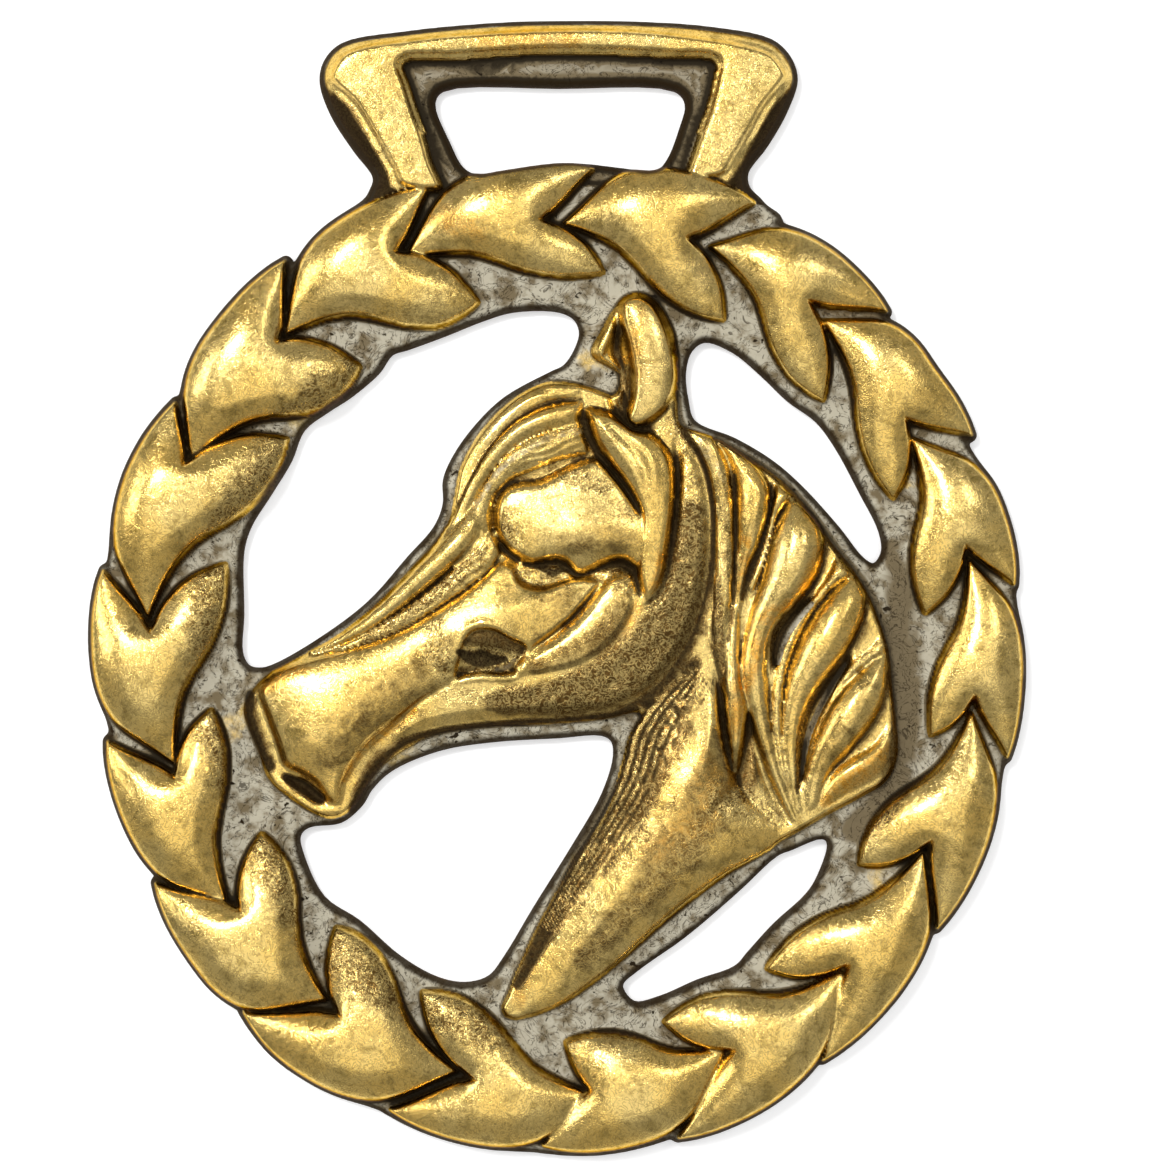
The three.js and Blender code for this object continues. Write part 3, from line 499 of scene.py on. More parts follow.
# patina that has stayed or been rubbed in, and painted shade and shadows beside some forms: x, y, half
# width along each stroke
patinaAndShade = {
    "grimeAndShade": [
        (0.9, [(-24.4, -8.4, 0.6), (-24.1, -10.3, 0.75), (-23.3, -12.4, 0.75), (-22.7, -14, 0.5)]),
        (1.0, [(-21.5, -14.9, 0.5), (-20.2, -15.6, 0.7), (-18.9, -16.5, 0.6)]),
        (0.85, [(-16.2, -17.4, 0.5), (-15.6, -15.8, 0.5), (-14.4, -13.9, 0.55), (-12.6, -12.3, 0.45),
            (-10, -11.3, 0.35), (-5, -10.6, 0.3), (0, -10.3, 0.3), (4.2, -9.9, 0.35)]),
        (0.75, [(-7.2, -4.2, 0.4), (-6, -3.9, 0.9), (-4.6, -4.2, 0.9), (-3, -4.8, 0.5)]),
        (1.0, [(-7.8, -4.9, 0.3), (-7.1, -5.3, 0.7), (-6.2, -5.6, 0.8), (-5, -5.5, 0.6)]),
        (1.3, [(-7, -5.6, 0.3), (-6.1, -5.1, 0.5), (-5.3, -5.6, 0.5), (-4.3, -5.5, 0.35)]),
        (0.55, [(-7.8, -6.4, 0.4), (-6, -6.3, 0.4), (-4.2, -6.3, 0.5), (-3.3, -5.4, 0.5)]),
        (0.42, [(2.2, 10.9, 0.5), (0, 10, 0.6), (-2.2, 9.1, 0.5), (-4.2, 8.3, 0.4), (-5.2, 7, 0.3),
            (-5.3, 5, 0.3), (-4.9, 3.5, 0.28)]),
        # painted shadow under the brow's overhanging edge, in these two strokes
        (0.85, [(-2.7, 2, 0.2), (-1.3, 1.7, 0.4), (-0.5, 1.3, 0.5), (0.7, 1.6, 0.3), (1.6, 1.1, 0.18)]),
        (0.6, [(2.4, 1.3, 0.18), (3.8, 1.6, 0.35), (5.2, 1.6, 0.5), (6.1, 0.5, 0.35), (6.4, -0.5, 0.25)]),
        (0.55, [(2.2, 13.3, 0.2), (2.4, 11.8, 0.26), (3.3, 10.2, 0.26), (4.6, 8.6, 0.22),
            (5.8, 7.1, 0.15)]),
        # painted shadow down the right side of the hanging lock
        (0.7, [(9.3, 10.4, 0.2), (9.4, 8, 0.24), (9.2, 5.6, 0.3), (8.9, 3.4, 0.3), (8.6, 1.6, 0.3),
            (8.1, 0, 0.3), (7, -1.1, 0.2)]),
        # painted shade along the cheek's right and lower border
        (0.85, [(9.9, 12.4, 0.5), (11.4, 10, 0.3), (12.1, 7, 0.3), (12.2, 3.6, 0.3), (11.9, 0.4, 0.4),
            (11.2, -2.4, 0.5), (10.1, -4.9, 0.55), (8.6, -7.1, 0.55), (6.7, -8.8, 0.55),
            (4.5, -9.8, 0.4)]),
        (0.7, [(13.9, 9, 0.2), (14, 5, 0.25), (13.9, 2, 0.25), (13.8, -1, 0.25), (13.4, -4, 0.2)]),
        (0.6, [(4.8, 20.6, 0.4), (4.6, 18.6, 0.5), (5.1, 16.6, 0.5), (5, 14.8, 0.5), (5.2, 13.4, 0.4),
            (6.6, 12.6, 0.3)]),
        (0.6, [(9.4, 15.2, 0.4), (9.4, 13.4, 0.6), (10.4, 11.9, 0.5)]),
        (0.9, [(12.5, -7.4, 0.15), (12.9, -10.4, 0.25), (13.7, -14.2, 0.2)]),
        (0.65, [(15, -10.4, 0.2), (15, -12.4, 0.5), (15, -14.6, 1.1), (14.6, -16, 1)]),
        (0.85, [(10.8, -5.8, 0.7), (9.2, -9, 1.6), (7.6, -12.4, 2.3), (6.3, -15.6, 2.1), (4, -18.9, 1.7),
            (1.6, -22.6, 1.3), (-1.1, -27.2, 0.9), (-3.2, -31.2, 0.5)]),
        # painted shadows: these five strokes run down the right side of the mane locks and along the
        # mane's outer wall
        (0.8, [(16.8, 8.2, 0.2), (16.5, 5.6, 0.2), (15.9, 3.2, 0.25), (15.1, 1.4, 0.5),
            (14.5, -0.6, 0.4)]),
        (0.7, [(21.1, 4.2, 0.25), (20.8, 1.6, 0.25), (19.8, -0.2, 0.25), (18.4, -1.7, 0.25),
            (17, -3.4, 0.2), (16.8, -6.4, 0.2)]),
        (0.7, [(24.4, -0.4, 0.25), (24.1, -2.6, 0.3), (22.9, -4.8, 0.3), (21, -7.3, 0.3),
            (19.6, -9.4, 0.3), (18.9, -12, 0.25), (18.8, -16, 0.2)]),
        (0.7, [(26.1, -6.4, 0.25), (25.7, -9, 0.25), (24.6, -11, 0.25), (23, -12.8, 0.2)]),
        (0.7, [(12.4, 11.9, 0.4), (15.2, 10.3, 0.4), (17.9, 8.3, 0.45), (20.4, 5.4, 0.45), (22.1, 3, 0.45),
            (24.2, 0.4, 0.4), (25.6, -2.6, 0.45), (26.3, -6, 0.45), (26.6, -10, 0.4), (26.3, -13.4, 0.4)]),
        (0.3, [(-6.9, 3, 0.25), (-9.1, 0.9, 0.25), (-12, -1.5, 0.2)]),
        (0.55, [(1.8, 15.1, 0.25), (-0.9, 14.7, 0.25), (-3.3, 13.4, 0.25), (-5.4, 11.3, 0.25),
            (-7, 8.6, 0.25), (-8.2, 6, 0.25)]),
    ],
    "tarnish": [
        (0.68, [(10.4, 6, 1.4), (9.9, 1, 2.2), (8.4, -3.4, 3), (5.6, -6.2, 3), (1, -8.2, 2.2),
            (-5, -8.9, 1.2)]),
        (0.45, [(12.6, -12, 1.4), (13, -16, 2.2), (10.4, -20, 2), (6.4, -24.4, 1.8), (2, -29, 1.2)]),
        (0.35, [(2, -4, 1.4), (4, -2, 1.6), (5, 0, 1)]),
        (0.3, [(13, 9, 0.9), (13.1, 3, 0.9), (13, -3, 0.9), (13.6, -10, 0.9)]),
        (0.6, [(12.6, 1, 0.3), (12.5, -2, 0.6), (12.6, -4.6, 0.8), (13, -7.4, 0.4)]),
        (0.4, [(10.6, -15, 1.3), (8.6, -18.2, 1.6), (6.2, -21.4, 1.4)]),
        (0.3, [(24.6, -7.4, 1.2), (22.6, -10.6, 1.4), (20.8, -14, 1.2)]),
        (0.3, [(16, -8, 0.9), (16.4, -12, 0.9), (17.8, -16.4, 0.9)]),
        (0.3, [(-11, -9.9, 0.8), (-13.6, -11.8, 0.8), (-15.6, -14.6, 0.7)]),
        (0.38, [(-18.4, -13.6, 1.2), (-16.6, -11.8, 1.7), (-14.4, -9.6, 2), (-11.4, -7.2, 2.2),
            (-9.6, -5, 2), (-9.4, -3, 1.2)]),
        (0.4, [(0.6, 9, 0.7), (2.2, 8.6, 1), (3.4, 8, 0.8)]),
        (0.45, [(-4.3, 6.2, 0.4), (-4.1, 4.9, 0.6), (-3.5, 3.7, 0.4)]),
        (0.5, [(-6, 3.2, 0.5), (-7.4, 1.6, 0.8), (-9.4, 0, 0.8), (-12.4, -2.2, 0.7), (-15.4, -3.9, 0.5)]),
        (0.4, [(-1.4, 0, 1), (0.8, -1, 1.5), (0, -2.6, 1.2), (-1.6, -3.8, 0.8)]),
        (0.36, [(0.6, 3.6, 1.2), (3.2, 3.8, 1.7), (5.4, 4.4, 1.6), (5.2, 6.6, 1)]),
        (0.5, [(-1.6, -6, 1), (1, -5, 1.4), (3.6, -3.6, 1.4), (5, -1.6, 1)]),
        (0.3, [(-6.6, 3, 1), (-9, 0.6, 1), (-13, -2.6, 0.9)]),
        (0.3, [(4, -21.6, 1.4), (7.4, -19, 1.6), (10, -15, 1.6)]),
        (0.55, [(26.4, 3.4, 0.8), (27, -1, 1.4), (27.4, -6, 1.5), (27.4, -11, 1.5), (26, -16.4, 1.6),
            (23.4, -19, 1.4)]),
    ],
    "pits": [
        (0.9, [(10.5, 8.6, 0.9), (10.6, 5, 1.2), (10.2, 2, 1.6), (9.3, -1, 2), (8, -3.5, 2.2),
            (6, -6, 2.2), (2, -8, 1.6), (-2, -8.5, 1.2), (-6, -8.5, 0.8), (-9, -8.3, 0.5)]),
        (1.0, [(-9.6, -2.9, 0.8), (-9.6, -4.6, 1.3), (-9, -6.6, 1.1)]),
        (1.0, [(-7, -5.2, 0.9), (-5, -5.5, 1.2), (-3.6, -5.2, 0.6)]),
        (0.8, [(-3.6, 5.9, 0.8), (-3.6, 4.4, 0.9), (-3.1, 3.3, 0.5)]),
        (1.0, [(0.4, 8.8, 0.6), (2, 8.4, 1), (3.4, 8, 0.8)]),
        (0.9, [(-5.6, 3, 0.7), (-7, 1.6, 0.9), (-9.2, -0.1, 0.8), (-12, -2.1, 0.7), (-15, -3.8, 0.5)]),
        (1.0, [(-3.4, 1.3, 0.5), (-1.5, 1, 0.8), (0.4, 1.3, 0.5)]),
        (0.9, [(3, 0.9, 0.5), (4.6, 1, 1), (5.6, 0.2, 0.8)]),
        (0.7, [(1.6, 12.4, 0.8), (-0.5, 11.8, 0.7), (-2.5, 10.8, 0.7), (-4.4, 9.4, 0.6), (-6, 7.3, 0.5),
            (-7.4, 5, 0.5)]),
        (0.8, [(8.6, 13.2, 0.8), (10.2, 11.4, 0.8), (9.9, 10, 0.5)]),
        (0.7, [(22.3, 1.6, 0.7), (20.8, -0.4, 0.4), (19.1, -2.5, 0.4), (17.9, -5, 0.35), (17.2, -8.5, 0.4),
            (17.4, -12, 0.4), (17.9, -14.5, 0.3)]),
        (0.7, [(25.4, -4.4, 0.6), (23.6, -6, 0.5), (22.2, -7.4, 0.3)]),
        (0.9, [(12.6, -17, 1.2), (15, -17, 1.6), (17.2, -18, 1)]),
        (0.5, [(13.1, 9, 0.5), (13.2, 4, 0.6), (13, -1, 0.6), (12.8, -4, 0.5)]),
        (0.4, [(11, -6, 0.8), (8.6, -9.6, 1.4), (6.4, -14, 1.2), (3.4, -19, 0.9), (0, -25, 0.6)]),
        (0.3, [(13, -16, 1.2), (11, -20, 1.6), (6.4, -24.8, 1.4), (1.6, -29.4, 0.9)]),
        (0.4, [(-15.2, 41, 2.2), (-14, 38, 2), (-12.2, 34, 1.8)]),
        (0.4, [(15, 41, 2.2), (14, 38, 2), (12.2, 34, 1.8)]),
        (0.3, [(-15, 42.4, 0.9), (-5, 43.2, 0.9), (5, 43.2, 0.9), (15, 42.2, 0.9)]),
    ],
    "ash": [
        (0.9, [(2.8, 16.7, 0.8), (3.8, 16.4, 0.7)]),
        (0.3, [(-5.4, 3, 0.5), (-7, 1.6, 0.7), (-9.2, -0.1, 0.7), (-12, -2.1, 0.6), (-14.6, -3.6, 0.4)]),
        (0.45, [(1.6, 12.5, 0.5), (-0.5, 12, 0.4), (-2.5, 11, 0.4), (-4.4, 9.7, 0.4), (-6, 7.5, 0.4),
            (-7.5, 5, 0.3)]),
        (0.9, [(20, -1.1, 0.2), (18.9, -2.3, 0.3), (17.8, -4, 0.3), (17.3, -5.8, 0.2)]),
        (0.9, [(22.6, -5.9, 0.2), (21.4, -7.9, 0.3), (20.3, -10, 0.3), (19.6, -12, 0.25),
            (19.2, -14.5, 0.15)]),
        (0.5, [(-5, -6.3, 0.25), (-4, -6.1, 0.35), (-3.5, -5.6, 0.3)]),
        (0.35, [(7, -11.2, 0.4), (5.6, -14.6, 0.4), (3.8, -18, 0.4), (1.4, -22, 0.4)]),
        (0.4, [(11.4, 11.4, 0.8), (13, 8.6, 0.4)]),
    ],
    "amber": [
        (1.0, [(-16.9, -15, 0.3), (-15.6, -12.9, 0.35), (-13.3, -11, 0.35), (-11.3, -9.5, 0.3)]),
        (0.8, [(-23, -7.6, 0.7), (-21.8, -6.9, 0.9), (-20, -6.3, 0.5)]),
        (1.0, [(8.1, 2.6, 0.4), (7.9, 1.2, 0.4), (7.3, 0.2, 0.3)]),
        (0.8, [(6.2, -1.4, 0.5), (5, -3.4, 0.5), (3.4, -4.9, 0.4)]),
        (0.8, [(9.6, -4.4, 0.7), (8.2, -6.2, 0.9), (6.2, -7.9, 0.8)]),
        (0.9, [(14.8, 4, 0.5), (14.6, 2.4, 0.5), (14.3, 0, 0.4)]),
        (0.8, [(20.4, 3, 0.5), (19.2, 0, 0.6), (17.6, -1.4, 0.6), (16, -2.6, 0.8), (15.4, -5, 0.8),
            (14.2, -8.6, 0.8), (13.9, -11.4, 0.4)]),
        (0.9, [(26, -12.6, 0.6), (24.6, -14, 0.8), (22.6, -15.3, 0.8), (21, -16.8, 0.5)]),
        (0.6, [(11, -13, 1), (12, -15.6, 1.6), (10.6, -18.6, 1.6), (7.4, -20.6, 1.2)]),
        (0.6, [(-6, 43, 0.9), (-2, 43.4, 1), (1, 43.3, 0.9)]),
        (0.6, [(-9.2, 29.2, 1.2), (-6.6, 28.2, 1.2)]),
        (0.6, [(6.2, 16.8, 0.5), (6, 19.6, 0.6), (6.4, 22.2, 0.6)]),
        (0.6, [(-2.3, -29, 0.8), (-3.2, -32.6, 0.6)]),
    ],
}


def raiseForm(z, form):
    d, height = swelling(curveThrough(form["outline"], 5, True), form["halfWidth"], form["power"])
    if form.get("laidOn"):
        return z + form["wall"] * smoothStep(d, -0.05, form["wallWidth"]) + form["rise"] * height
    top = form["foot"] + form["wall"] * smoothStep(d, -0.05, form["wallWidth"]) + form["rise"] * height
    return np.where(d > -0.1, softMax(z, top, form["blend"]), z)


def raiseBand(z, band):
    left = curveThrough(band["left"], 5)
    right = curveThrough(band["right"], 5)
    d, height = swelling(np.vstack([left, right[::-1]]), band["halfWidth"], hair["power"])
    partL, toLeft, along, _ = beside(left, hair["reach"])
    partR, toRight, _, _ = beside(right, hair["reach"])
    toL, toR, run = np.full(z.shape, 99.0), np.full(z.shape, 99.0), np.zeros(z.shape)
    toL[partL], toR[partR], run[partL] = toLeft, toRight, along
    across = toL / (toL + toR + 1e-6)
    top = band["foot"] + band["rise"] * height * (1 + band.get("tilt", 0) * (2 * across - 1))
    if band.get("lines"):
        waver = hair["waver"] * np.sin(run * 1.1 + band["foot"] * 7 + band["rise"] * 40)
        comb = 0.5 - 0.5 * np.cos(2 * math.pi * (across * (band["lines"] + 1) + waver))
        reach = smoothStep(band.get("linesTo", 2.0) - across, 0.0, 0.1)
        top -= band["cut"] * comb * smoothStep(d, 0.0, 0.4) * reach
    return np.where(d > 0, softMax(z, top, hair["blend"]), z)


def cutLine(z, line):
    part, away, _, (wide, deep) = beside(curveThrough(line, 5), 2.6 * max(row[2] for row in line))
    z[part] -= deep * np.exp(-(away / wide) ** 2)
    return z


def sinkHollow(z, hollow):
    d = inset(curveThrough(hollow["outline"], 5, True))
    return z - hollow["depth"] * smoothStep(d, -0.05, hollow["slope"])


def brushed(strokes):
    field = np.zeros(sheetX.shape)
    for strength, line in strokes:
        part, away, _, (wide,) = beside(curveThrough(line, 4), 4.0)
        field[part] = np.maximum(field[part], strength * (1 - smoothStep(away / wide, 0.45, 1.25)))
    return field


casting = {
    "ground": 1.7, "groundWaver": 0.04, "waverSize": 1.2,
    "edgeRound": 0.62, "edgeDrop": 0.75,     # the rounding of every outer and inner edge
    "soften": 0.09,
    "worn": 4.05, "wornRoom": 0.6,           # high points are rubbed down towards worn + wornRoom
    "pitSize": 0.55, "pitDepth": 0.07, "pitRange": (-1.2, 0.6),
}


def leafLayer():
    farIn = np.full(sheetX.shape, farOut)
    top = np.zeros(sheetX.shape)
    for row in leafPairs:
        outline = leafOutline(*row)
        d, height = swelling(outline, wreath["leafHalf"], wreath["power"], 1.6, wreath["fullness"])
        farIn = np.maximum(farIn, d)
        leaf = wreath["wall"] * smoothStep(d, 0, wreath["wallWidth"]) + wreath["rise"] * height
        top = np.maximum(top, np.where(d > 0, leaf, 0))
    return farIn, top


def castingEdge(farIn, depth):  # distance in from the silhouette and from every opening
    edge = softMax(depth - wreath["bandIn"], farIn + wreath["rim"], 0.35)
    edge = softMax(edge, inset(curveThrough(strapLoop["edge"], 5, True), 3), 0.5)
    for outline in openings.values():
        hole = inset(curveThrough(outline, 5, True), 3)
        edge = np.minimum(edge, np.where(hole == farOut, 9, -hole))
    return edge


# combed lines fan down the throat side of the neck, from the first to the last: x, y, half width
neckComb = {
    "count": 7, "fade": 0.3, "grimeAndShade": 0.95, "rubbed": 0.42,
    "first": [(10.6, -5.8, 0.06), (6.2, -10.6, 0.14), (5, -14.6, 0.15), (1.9, -20.6, 0.13),
        (-1.4, -26.6, 0.06)],
    "last": [(12.2, -7.2, 0.06), (9.8, -12, 0.14), (8.4, -15.6, 0.15), (4.7, -21.2, 0.13),
        (0, -27.2, 0.06)],
}


def neckStreaks(start, strength):
    first, last = np.array(neckComb["first"]), np.array(neckComb["last"])
    strokes = []
    for k in range(neckComb["count"]):
        t = (k + start) / (neckComb["count"] - 1)
        strokes.append((strength * (1 - neckComb["fade"] * t), first + t * (last - first)))
    return strokes


def raiseStrapBevel(z, outside, strapIn):
    bevelTop = casting["ground"] + strapLoop["bevel"] * smoothStep(strapIn, 0.0, strapLoop["bevelWidth"])
    return np.where(outside, np.maximum(z, bevelTop), z)


def roundEdges(z, edge):
    roundDown = np.clip(1 - edge / casting["edgeRound"], 0, 1)
    return z - casting["edgeDrop"] * (1 - np.sqrt(np.clip(1 - roundDown**2, 0, 1)))


def rubDown(z):
    over = np.clip((z - casting["worn"]) / casting["wornRoom"], 0, None)
    return np.minimum(z, casting["worn"] + casting["wornRoom"] * np.tanh(over))


# where grime gathers, where shade is painted in and where the hand has rubbed: pairs are the range over
# which a thing sets in
weatheringAndShade = {
    "flange": (0.05, 0.4),          # height over the ground at which the flange gives way to relief
    "near": 0.35, "hill": (0.08, 0.27),
    "round": 1.1, "wide": (0.2, 0.7), "wideShare": 0.4,
    "steep": (1.9, 3.4), "steepShare": 0.6,
    "foot": 0.26, "footLine": (0.5, 0.86), "footShare": 0.95,    # a painted shadow line on the flange where relief meets it
    "even": 0.85, "patchy": 0.5, "patchSize": 3.2,
    "bare": 0.5, "bareSize": 2.6, "bareFrom": (3.6, 6.5),        # brass showing through the flange's grey
    "lobeShade": 0.5, "lobeDepth": (6.6, 9.2), "lobePits": (0.35, 0.55),    # inner lobes, darkened as painted shade
    "left": (-0.15, 0.5), "leftTilt": 0.3,                                  # they are darker on the left, painted shade where they turn from the light, with more pits there
    "together": 0.3,                # how much grime and painted shade over a crevice darken it further
}


def buildRelief():
    fromX = (sheetX - wreath["x"]) / wreath["halfWidth"]
    fromY = (sheetY - wreath["y"]) / wreath["halfHeight"]
    turn = np.degrees(np.arctan2(fromY, fromX))
    depth = wreath["meanRadius"] * (1 - np.hypot(fromX, fromY)) + wobbleAt(turn)
    farIn, leafTop = leafLayer()
    edge = castingEdge(farIn, depth)
    offLeaves = farIn < 0.1

    ledgeIn = inset(curveThrough(strapLoop["innerFace"], 5), 0.5)
    strapIn = inset(curveThrough(strapLoop["edge"], 5, True), 3)
    strapFace = strapLoop["outerFace"] + strapLoop["innerFace"]
    besideLegs = (sheetY > strapLoop["legsTo"]) | (np.abs(sheetX) > strapLoop["legsOut"])
    outside = (strapIn > 0) & (ledgeIn < 0) & offLeaves & (sheetY > strapLoop["bevelFrom"]) & besideLegs

    z = casting["ground"] + casting["groundWaver"] * mottle(casting["waverSize"], 3)
    z = np.maximum(z, casting["ground"] + leafTop)
    z = raiseStrapBevel(z, outside, strapIn)
    z = raiseForm(z, dict(strapLoop["form"], outline=strapFace))
    z = raiseForm(z, dict(headBody, outline=headEdge))
    for band in bands.values():
        z = raiseBand(z, band)
    for form in headForms.values():
        z = raiseForm(z, form)
    for hollow in hollows.values():
        z = sinkHollow(z, hollow)
    for line in cuts.values():
        z = cutLine(z, line)
    z = rubDown(blurred(roundEdges(z, edge), casting["soften"]))

    # dark patina in crevices, painted shade on steep walls and a painted shadow line at the foot of the
    # relief, the flange and the inner lobes, from the shape itself
    w = weatheringAndShade
    flange = 1 - smoothStep(z - casting["ground"], *w["flange"])
    hill = blurred(z, w["near"]) - z
    wide = blurred(z, w["round"]) - z
    slope = np.hypot(*np.gradient(z, sheet["step"]))
    onLeaf = smoothStep(farIn, 0.1, 0.5) * smoothStep(depth, -1.0, 0.0)
    lobe = onLeaf * smoothStep(depth, *w["lobeDepth"])
    # the left of the ring, where the inner lobes are given painted shade
    leftSide = smoothStep(-fromX - w["leftTilt"] * fromY, *w["left"])
    crevice = smoothStep(hill, *w["hill"]) + w["wideShare"] * smoothStep(wide, *w["wide"])
    # painted shade on steep walls
    crevice += w["steepShare"] * smoothStep(slope, *w["steep"])
    # painted shadow: a dark line on the flange at the foot of the relief
    footLine = 1 - smoothStep(blurred(flange, w["foot"]), *w["footLine"])
    crevice = crevice * (1 - flange) + w["footShare"] * footLine * flange
    crevice *= w["even"] + w["patchy"] * mottle(w["patchSize"], 21)

    # grime and painted shade, pits and grey oxide, brushed on
    grimeAndShade = np.maximum(brushed(patinaAndShade["grimeAndShade"]), w["lobeShade"] * lobe * leftSide)
    grimeAndShade = np.maximum(grimeAndShade, brushed(patinaAndShade["tarnish"]))
    grimeAndShade *= 1 - brushed(neckStreaks(0.5, neckComb["rubbed"]))
    grimeAndShade = np.maximum(grimeAndShade, brushed(neckStreaks(0.0, neckComb["grimeAndShade"])))
    pits = np.maximum(brushed(patinaAndShade["pits"]), lobe * (w["lobePits"][0] + w["lobePits"][1] * leftSide))
    barePatch = smoothStep(mottle(w["bareSize"], 31), 0.1, 0.8) * smoothStep(depth, *w["bareFrom"])
    ash = np.maximum(brushed(patinaAndShade["ash"]), flange * (1 - w["bare"] * barePatch))
    ash = np.where(ledgeIn > 0, np.minimum(ash, strapLoop["ledgeAsh"]), ash)

    # the strap loop's bevel, and the sunk ledge round its slot
    onBevel = outside * (1 - smoothStep(inset(curveThrough(strapFace, 5, True)), -0.4, 0.05))
    downLegs = smoothStep(strapLoop["legGrimeFrom"] - sheetY, 0, strapLoop["legGrimeOver"])
    grimeAndShade = np.maximum(grimeAndShade, (strapLoop["bevelGrime"] + strapLoop["legGrime"] * downLegs) * onBevel)
    onLedge = smoothStep(ledgeIn, -0.1, 0.1) * offLeaves
    ledgeFoot = 1 - smoothStep(ledgeIn, *strapLoop["ledgeFoot"])
    ledgeSides = np.maximum(ledgeFoot, 1 - smoothStep(edge, *strapLoop["ledgeRim"]))
    ledgeGrime = strapLoop["ledgeGrime"] + (1 - strapLoop["ledgeGrime"]) * ledgeSides
    grimeAndShade = np.maximum(grimeAndShade, onLedge * ledgeGrime)

    dark = np.clip(np.maximum(crevice, grimeAndShade) + w["together"] * np.minimum(crevice, grimeAndShade), 0, 1)
    z = z + casting["pitDepth"] * pits * np.clip(mottle(casting["pitSize"], 11), *casting["pitRange"])
    amber = brushed(patinaAndShade["amber"])
    return {"z": z, "edge": edge, "ash": ash, "dark": dark, "pits": pits, "amber": amber}


relief = buildRelief()
print("relief worked out, highest point", round(float(relief["z"].max()), 2), "mm")


def sampled(field, x, y):  # a sheet's value at points given in millimetres
    i = np.clip((x - gridX[0]) / sheet["step"], 0, len(gridX) - 1.001)
    j = np.clip((y - gridY[0]) / sheet["step"], 0, len(gridY) - 1.001)
    i0, j0 = i.astype(int), j.astype(int)
    fi, fj = i - i0, j - j0
    low = field[j0, i0] * (1 - fi) + field[j0, i0 + 1] * fi
    high = field[j0 + 1, i0] * (1 - fi) + field[j0 + 1, i0 + 1] * fi
    return low * (1 - fj) + high * fj


def verticesOf(mesh):
    flat = np.empty(len(mesh.vertices) * 3)
    mesh.vertices.foreach_get("co", flat)
    return flat.reshape(-1, 3)


def placeVertices(mesh, points):
    mesh.vertices.foreach_set("co", np.ascontiguousarray(points).ravel())
    mesh.update()


def pickVertices(mesh, chosen):  # selects these vertices, and only these, ready for edit mode
    mesh.polygons.foreach_set("select", np.zeros(len(mesh.polygons), bool))
    mesh.edges.foreach_set("select", np.zeros(len(mesh.edges), bool))
    mesh.vertices.foreach_set("select", chosen)
    mesh.update()


def boundaryVertices(mesh):  # the vertices on edges that have a single face
    counts = np.zeros(len(mesh.edges), int)
    loopEdges = np.empty(len(mesh.loops), int)
    mesh.loops.foreach_get("edge_index", loopEdges)
    np.add.at(counts, loopEdges, 1)
    ends = np.empty(len(mesh.edges) * 2, int)
    mesh.edges.foreach_get("vertices", ends)
    rim = np.zeros(len(mesh.vertices), bool)
    rim[ends.reshape(-1, 2)[counts == 1].ravel()] = True
    return rim


blank = {
    "name": "horse_brass_casting",
    "trim": 0.3,     # vertices this share of a step outside the outline are cut away
    "pulls": 4, "pullMost": 0.1, "pullSoft": 0.05,    # small moves that draw the rim onto the outline
    "mostTriangles": 188000, "smoothUnder": 60,
}


def makeBlank():  # a fine grid trimmed to the outline of the casting, its rim drawn onto the outline
    bpy.ops.object.select_all(action="DESELECT")
    bpy.ops.mesh.primitive_grid_add(x_subdivisions=len(gridX) - 1, y_subdivisions=len(gridY) - 1, size=2,
        location=(0, 0, 0))
    brass = bpy.context.object
    brass.name = brass.data.name = blank["name"]
    brass.scale = (sheet["halfWidth"], sheet["halfHeight"], 1)
    bpy.ops.object.transform_apply(location=False, rotation=False, scale=True)
    points = verticesOf(brass.data)
    outBy = -sampled(relief["edge"], points[:, 0], points[:, 1])
    pickVertices(brass.data, outBy > blank["trim"] * sheet["step"])
    bpy.ops.object.mode_set(mode="EDIT")
    bpy.ops.mesh.select_mode(type="VERT")
    bpy.ops.mesh.delete(type="VERT")
    bpy.ops.mesh.select_all(action="SELECT")
    bpy.ops.mesh.delete_loose()
    bpy.ops.object.mode_set(mode="OBJECT")
    points = verticesOf(brass.data)
    rim = boundaryVertices(brass.data)
    gy, gx = np.gradient(relief["edge"], sheet["step"])
    for _ in range(blank["pulls"]):
        x, y = points[rim, 0], points[rim, 1]
        off = sampled(relief["edge"], x, y)
        sx, sy = sampled(gx, x, y), sampled(gy, x, y)
        pull = np.clip(off, -blank["pullMost"], blank["pullMost"]) / (sx**2 + sy**2 + blank["pullSoft"])
        points[rim, 0] -= pull * sx
        points[rim, 1] -= pull * sy
    placeVertices(brass.data, points)
    return brass


# the blank is given its thickness, and its upper side its relief; the back stays flat
def raiseCasting(brass):
    bpy.ops.object.mode_set(mode="EDIT")
    bpy.ops.mesh.select_all(action="SELECT")
    bpy.ops.mesh.extrude_region_move(TRANSFORM_OT_translate={"value": (0, 0, 1)})
    bpy.ops.mesh.select_all(action="SELECT")
    bpy.ops.mesh.quads_convert_to_tris()
    bpy.ops.mesh.normals_make_consistent(inside=False)
    bpy.ops.object.mode_set(mode="OBJECT")
    points = verticesOf(brass.data)
    points[:, 2] *= sampled(relief["z"], points[:, 0], points[:, 1])
    placeVertices(brass.data, points)


def thinOut(brass, most):
    bpy.context.view_layer.objects.active = brass
    slim = brass.modifiers.new("slim", "DECIMATE")
    slim.ratio = min(1.0, most / len(brass.data.polygons))
    bpy.ops.object.modifier_apply(modifier="slim")


# the upper side has the looks of the relief, from this far under it, and the back and sides these
upperSide = (-0.3, -0.1)
hiddenLooks = {"ash": 0.0, "dark": 0.9, "pits": 0.3, "amber": 0.0, "edge": 0.0}


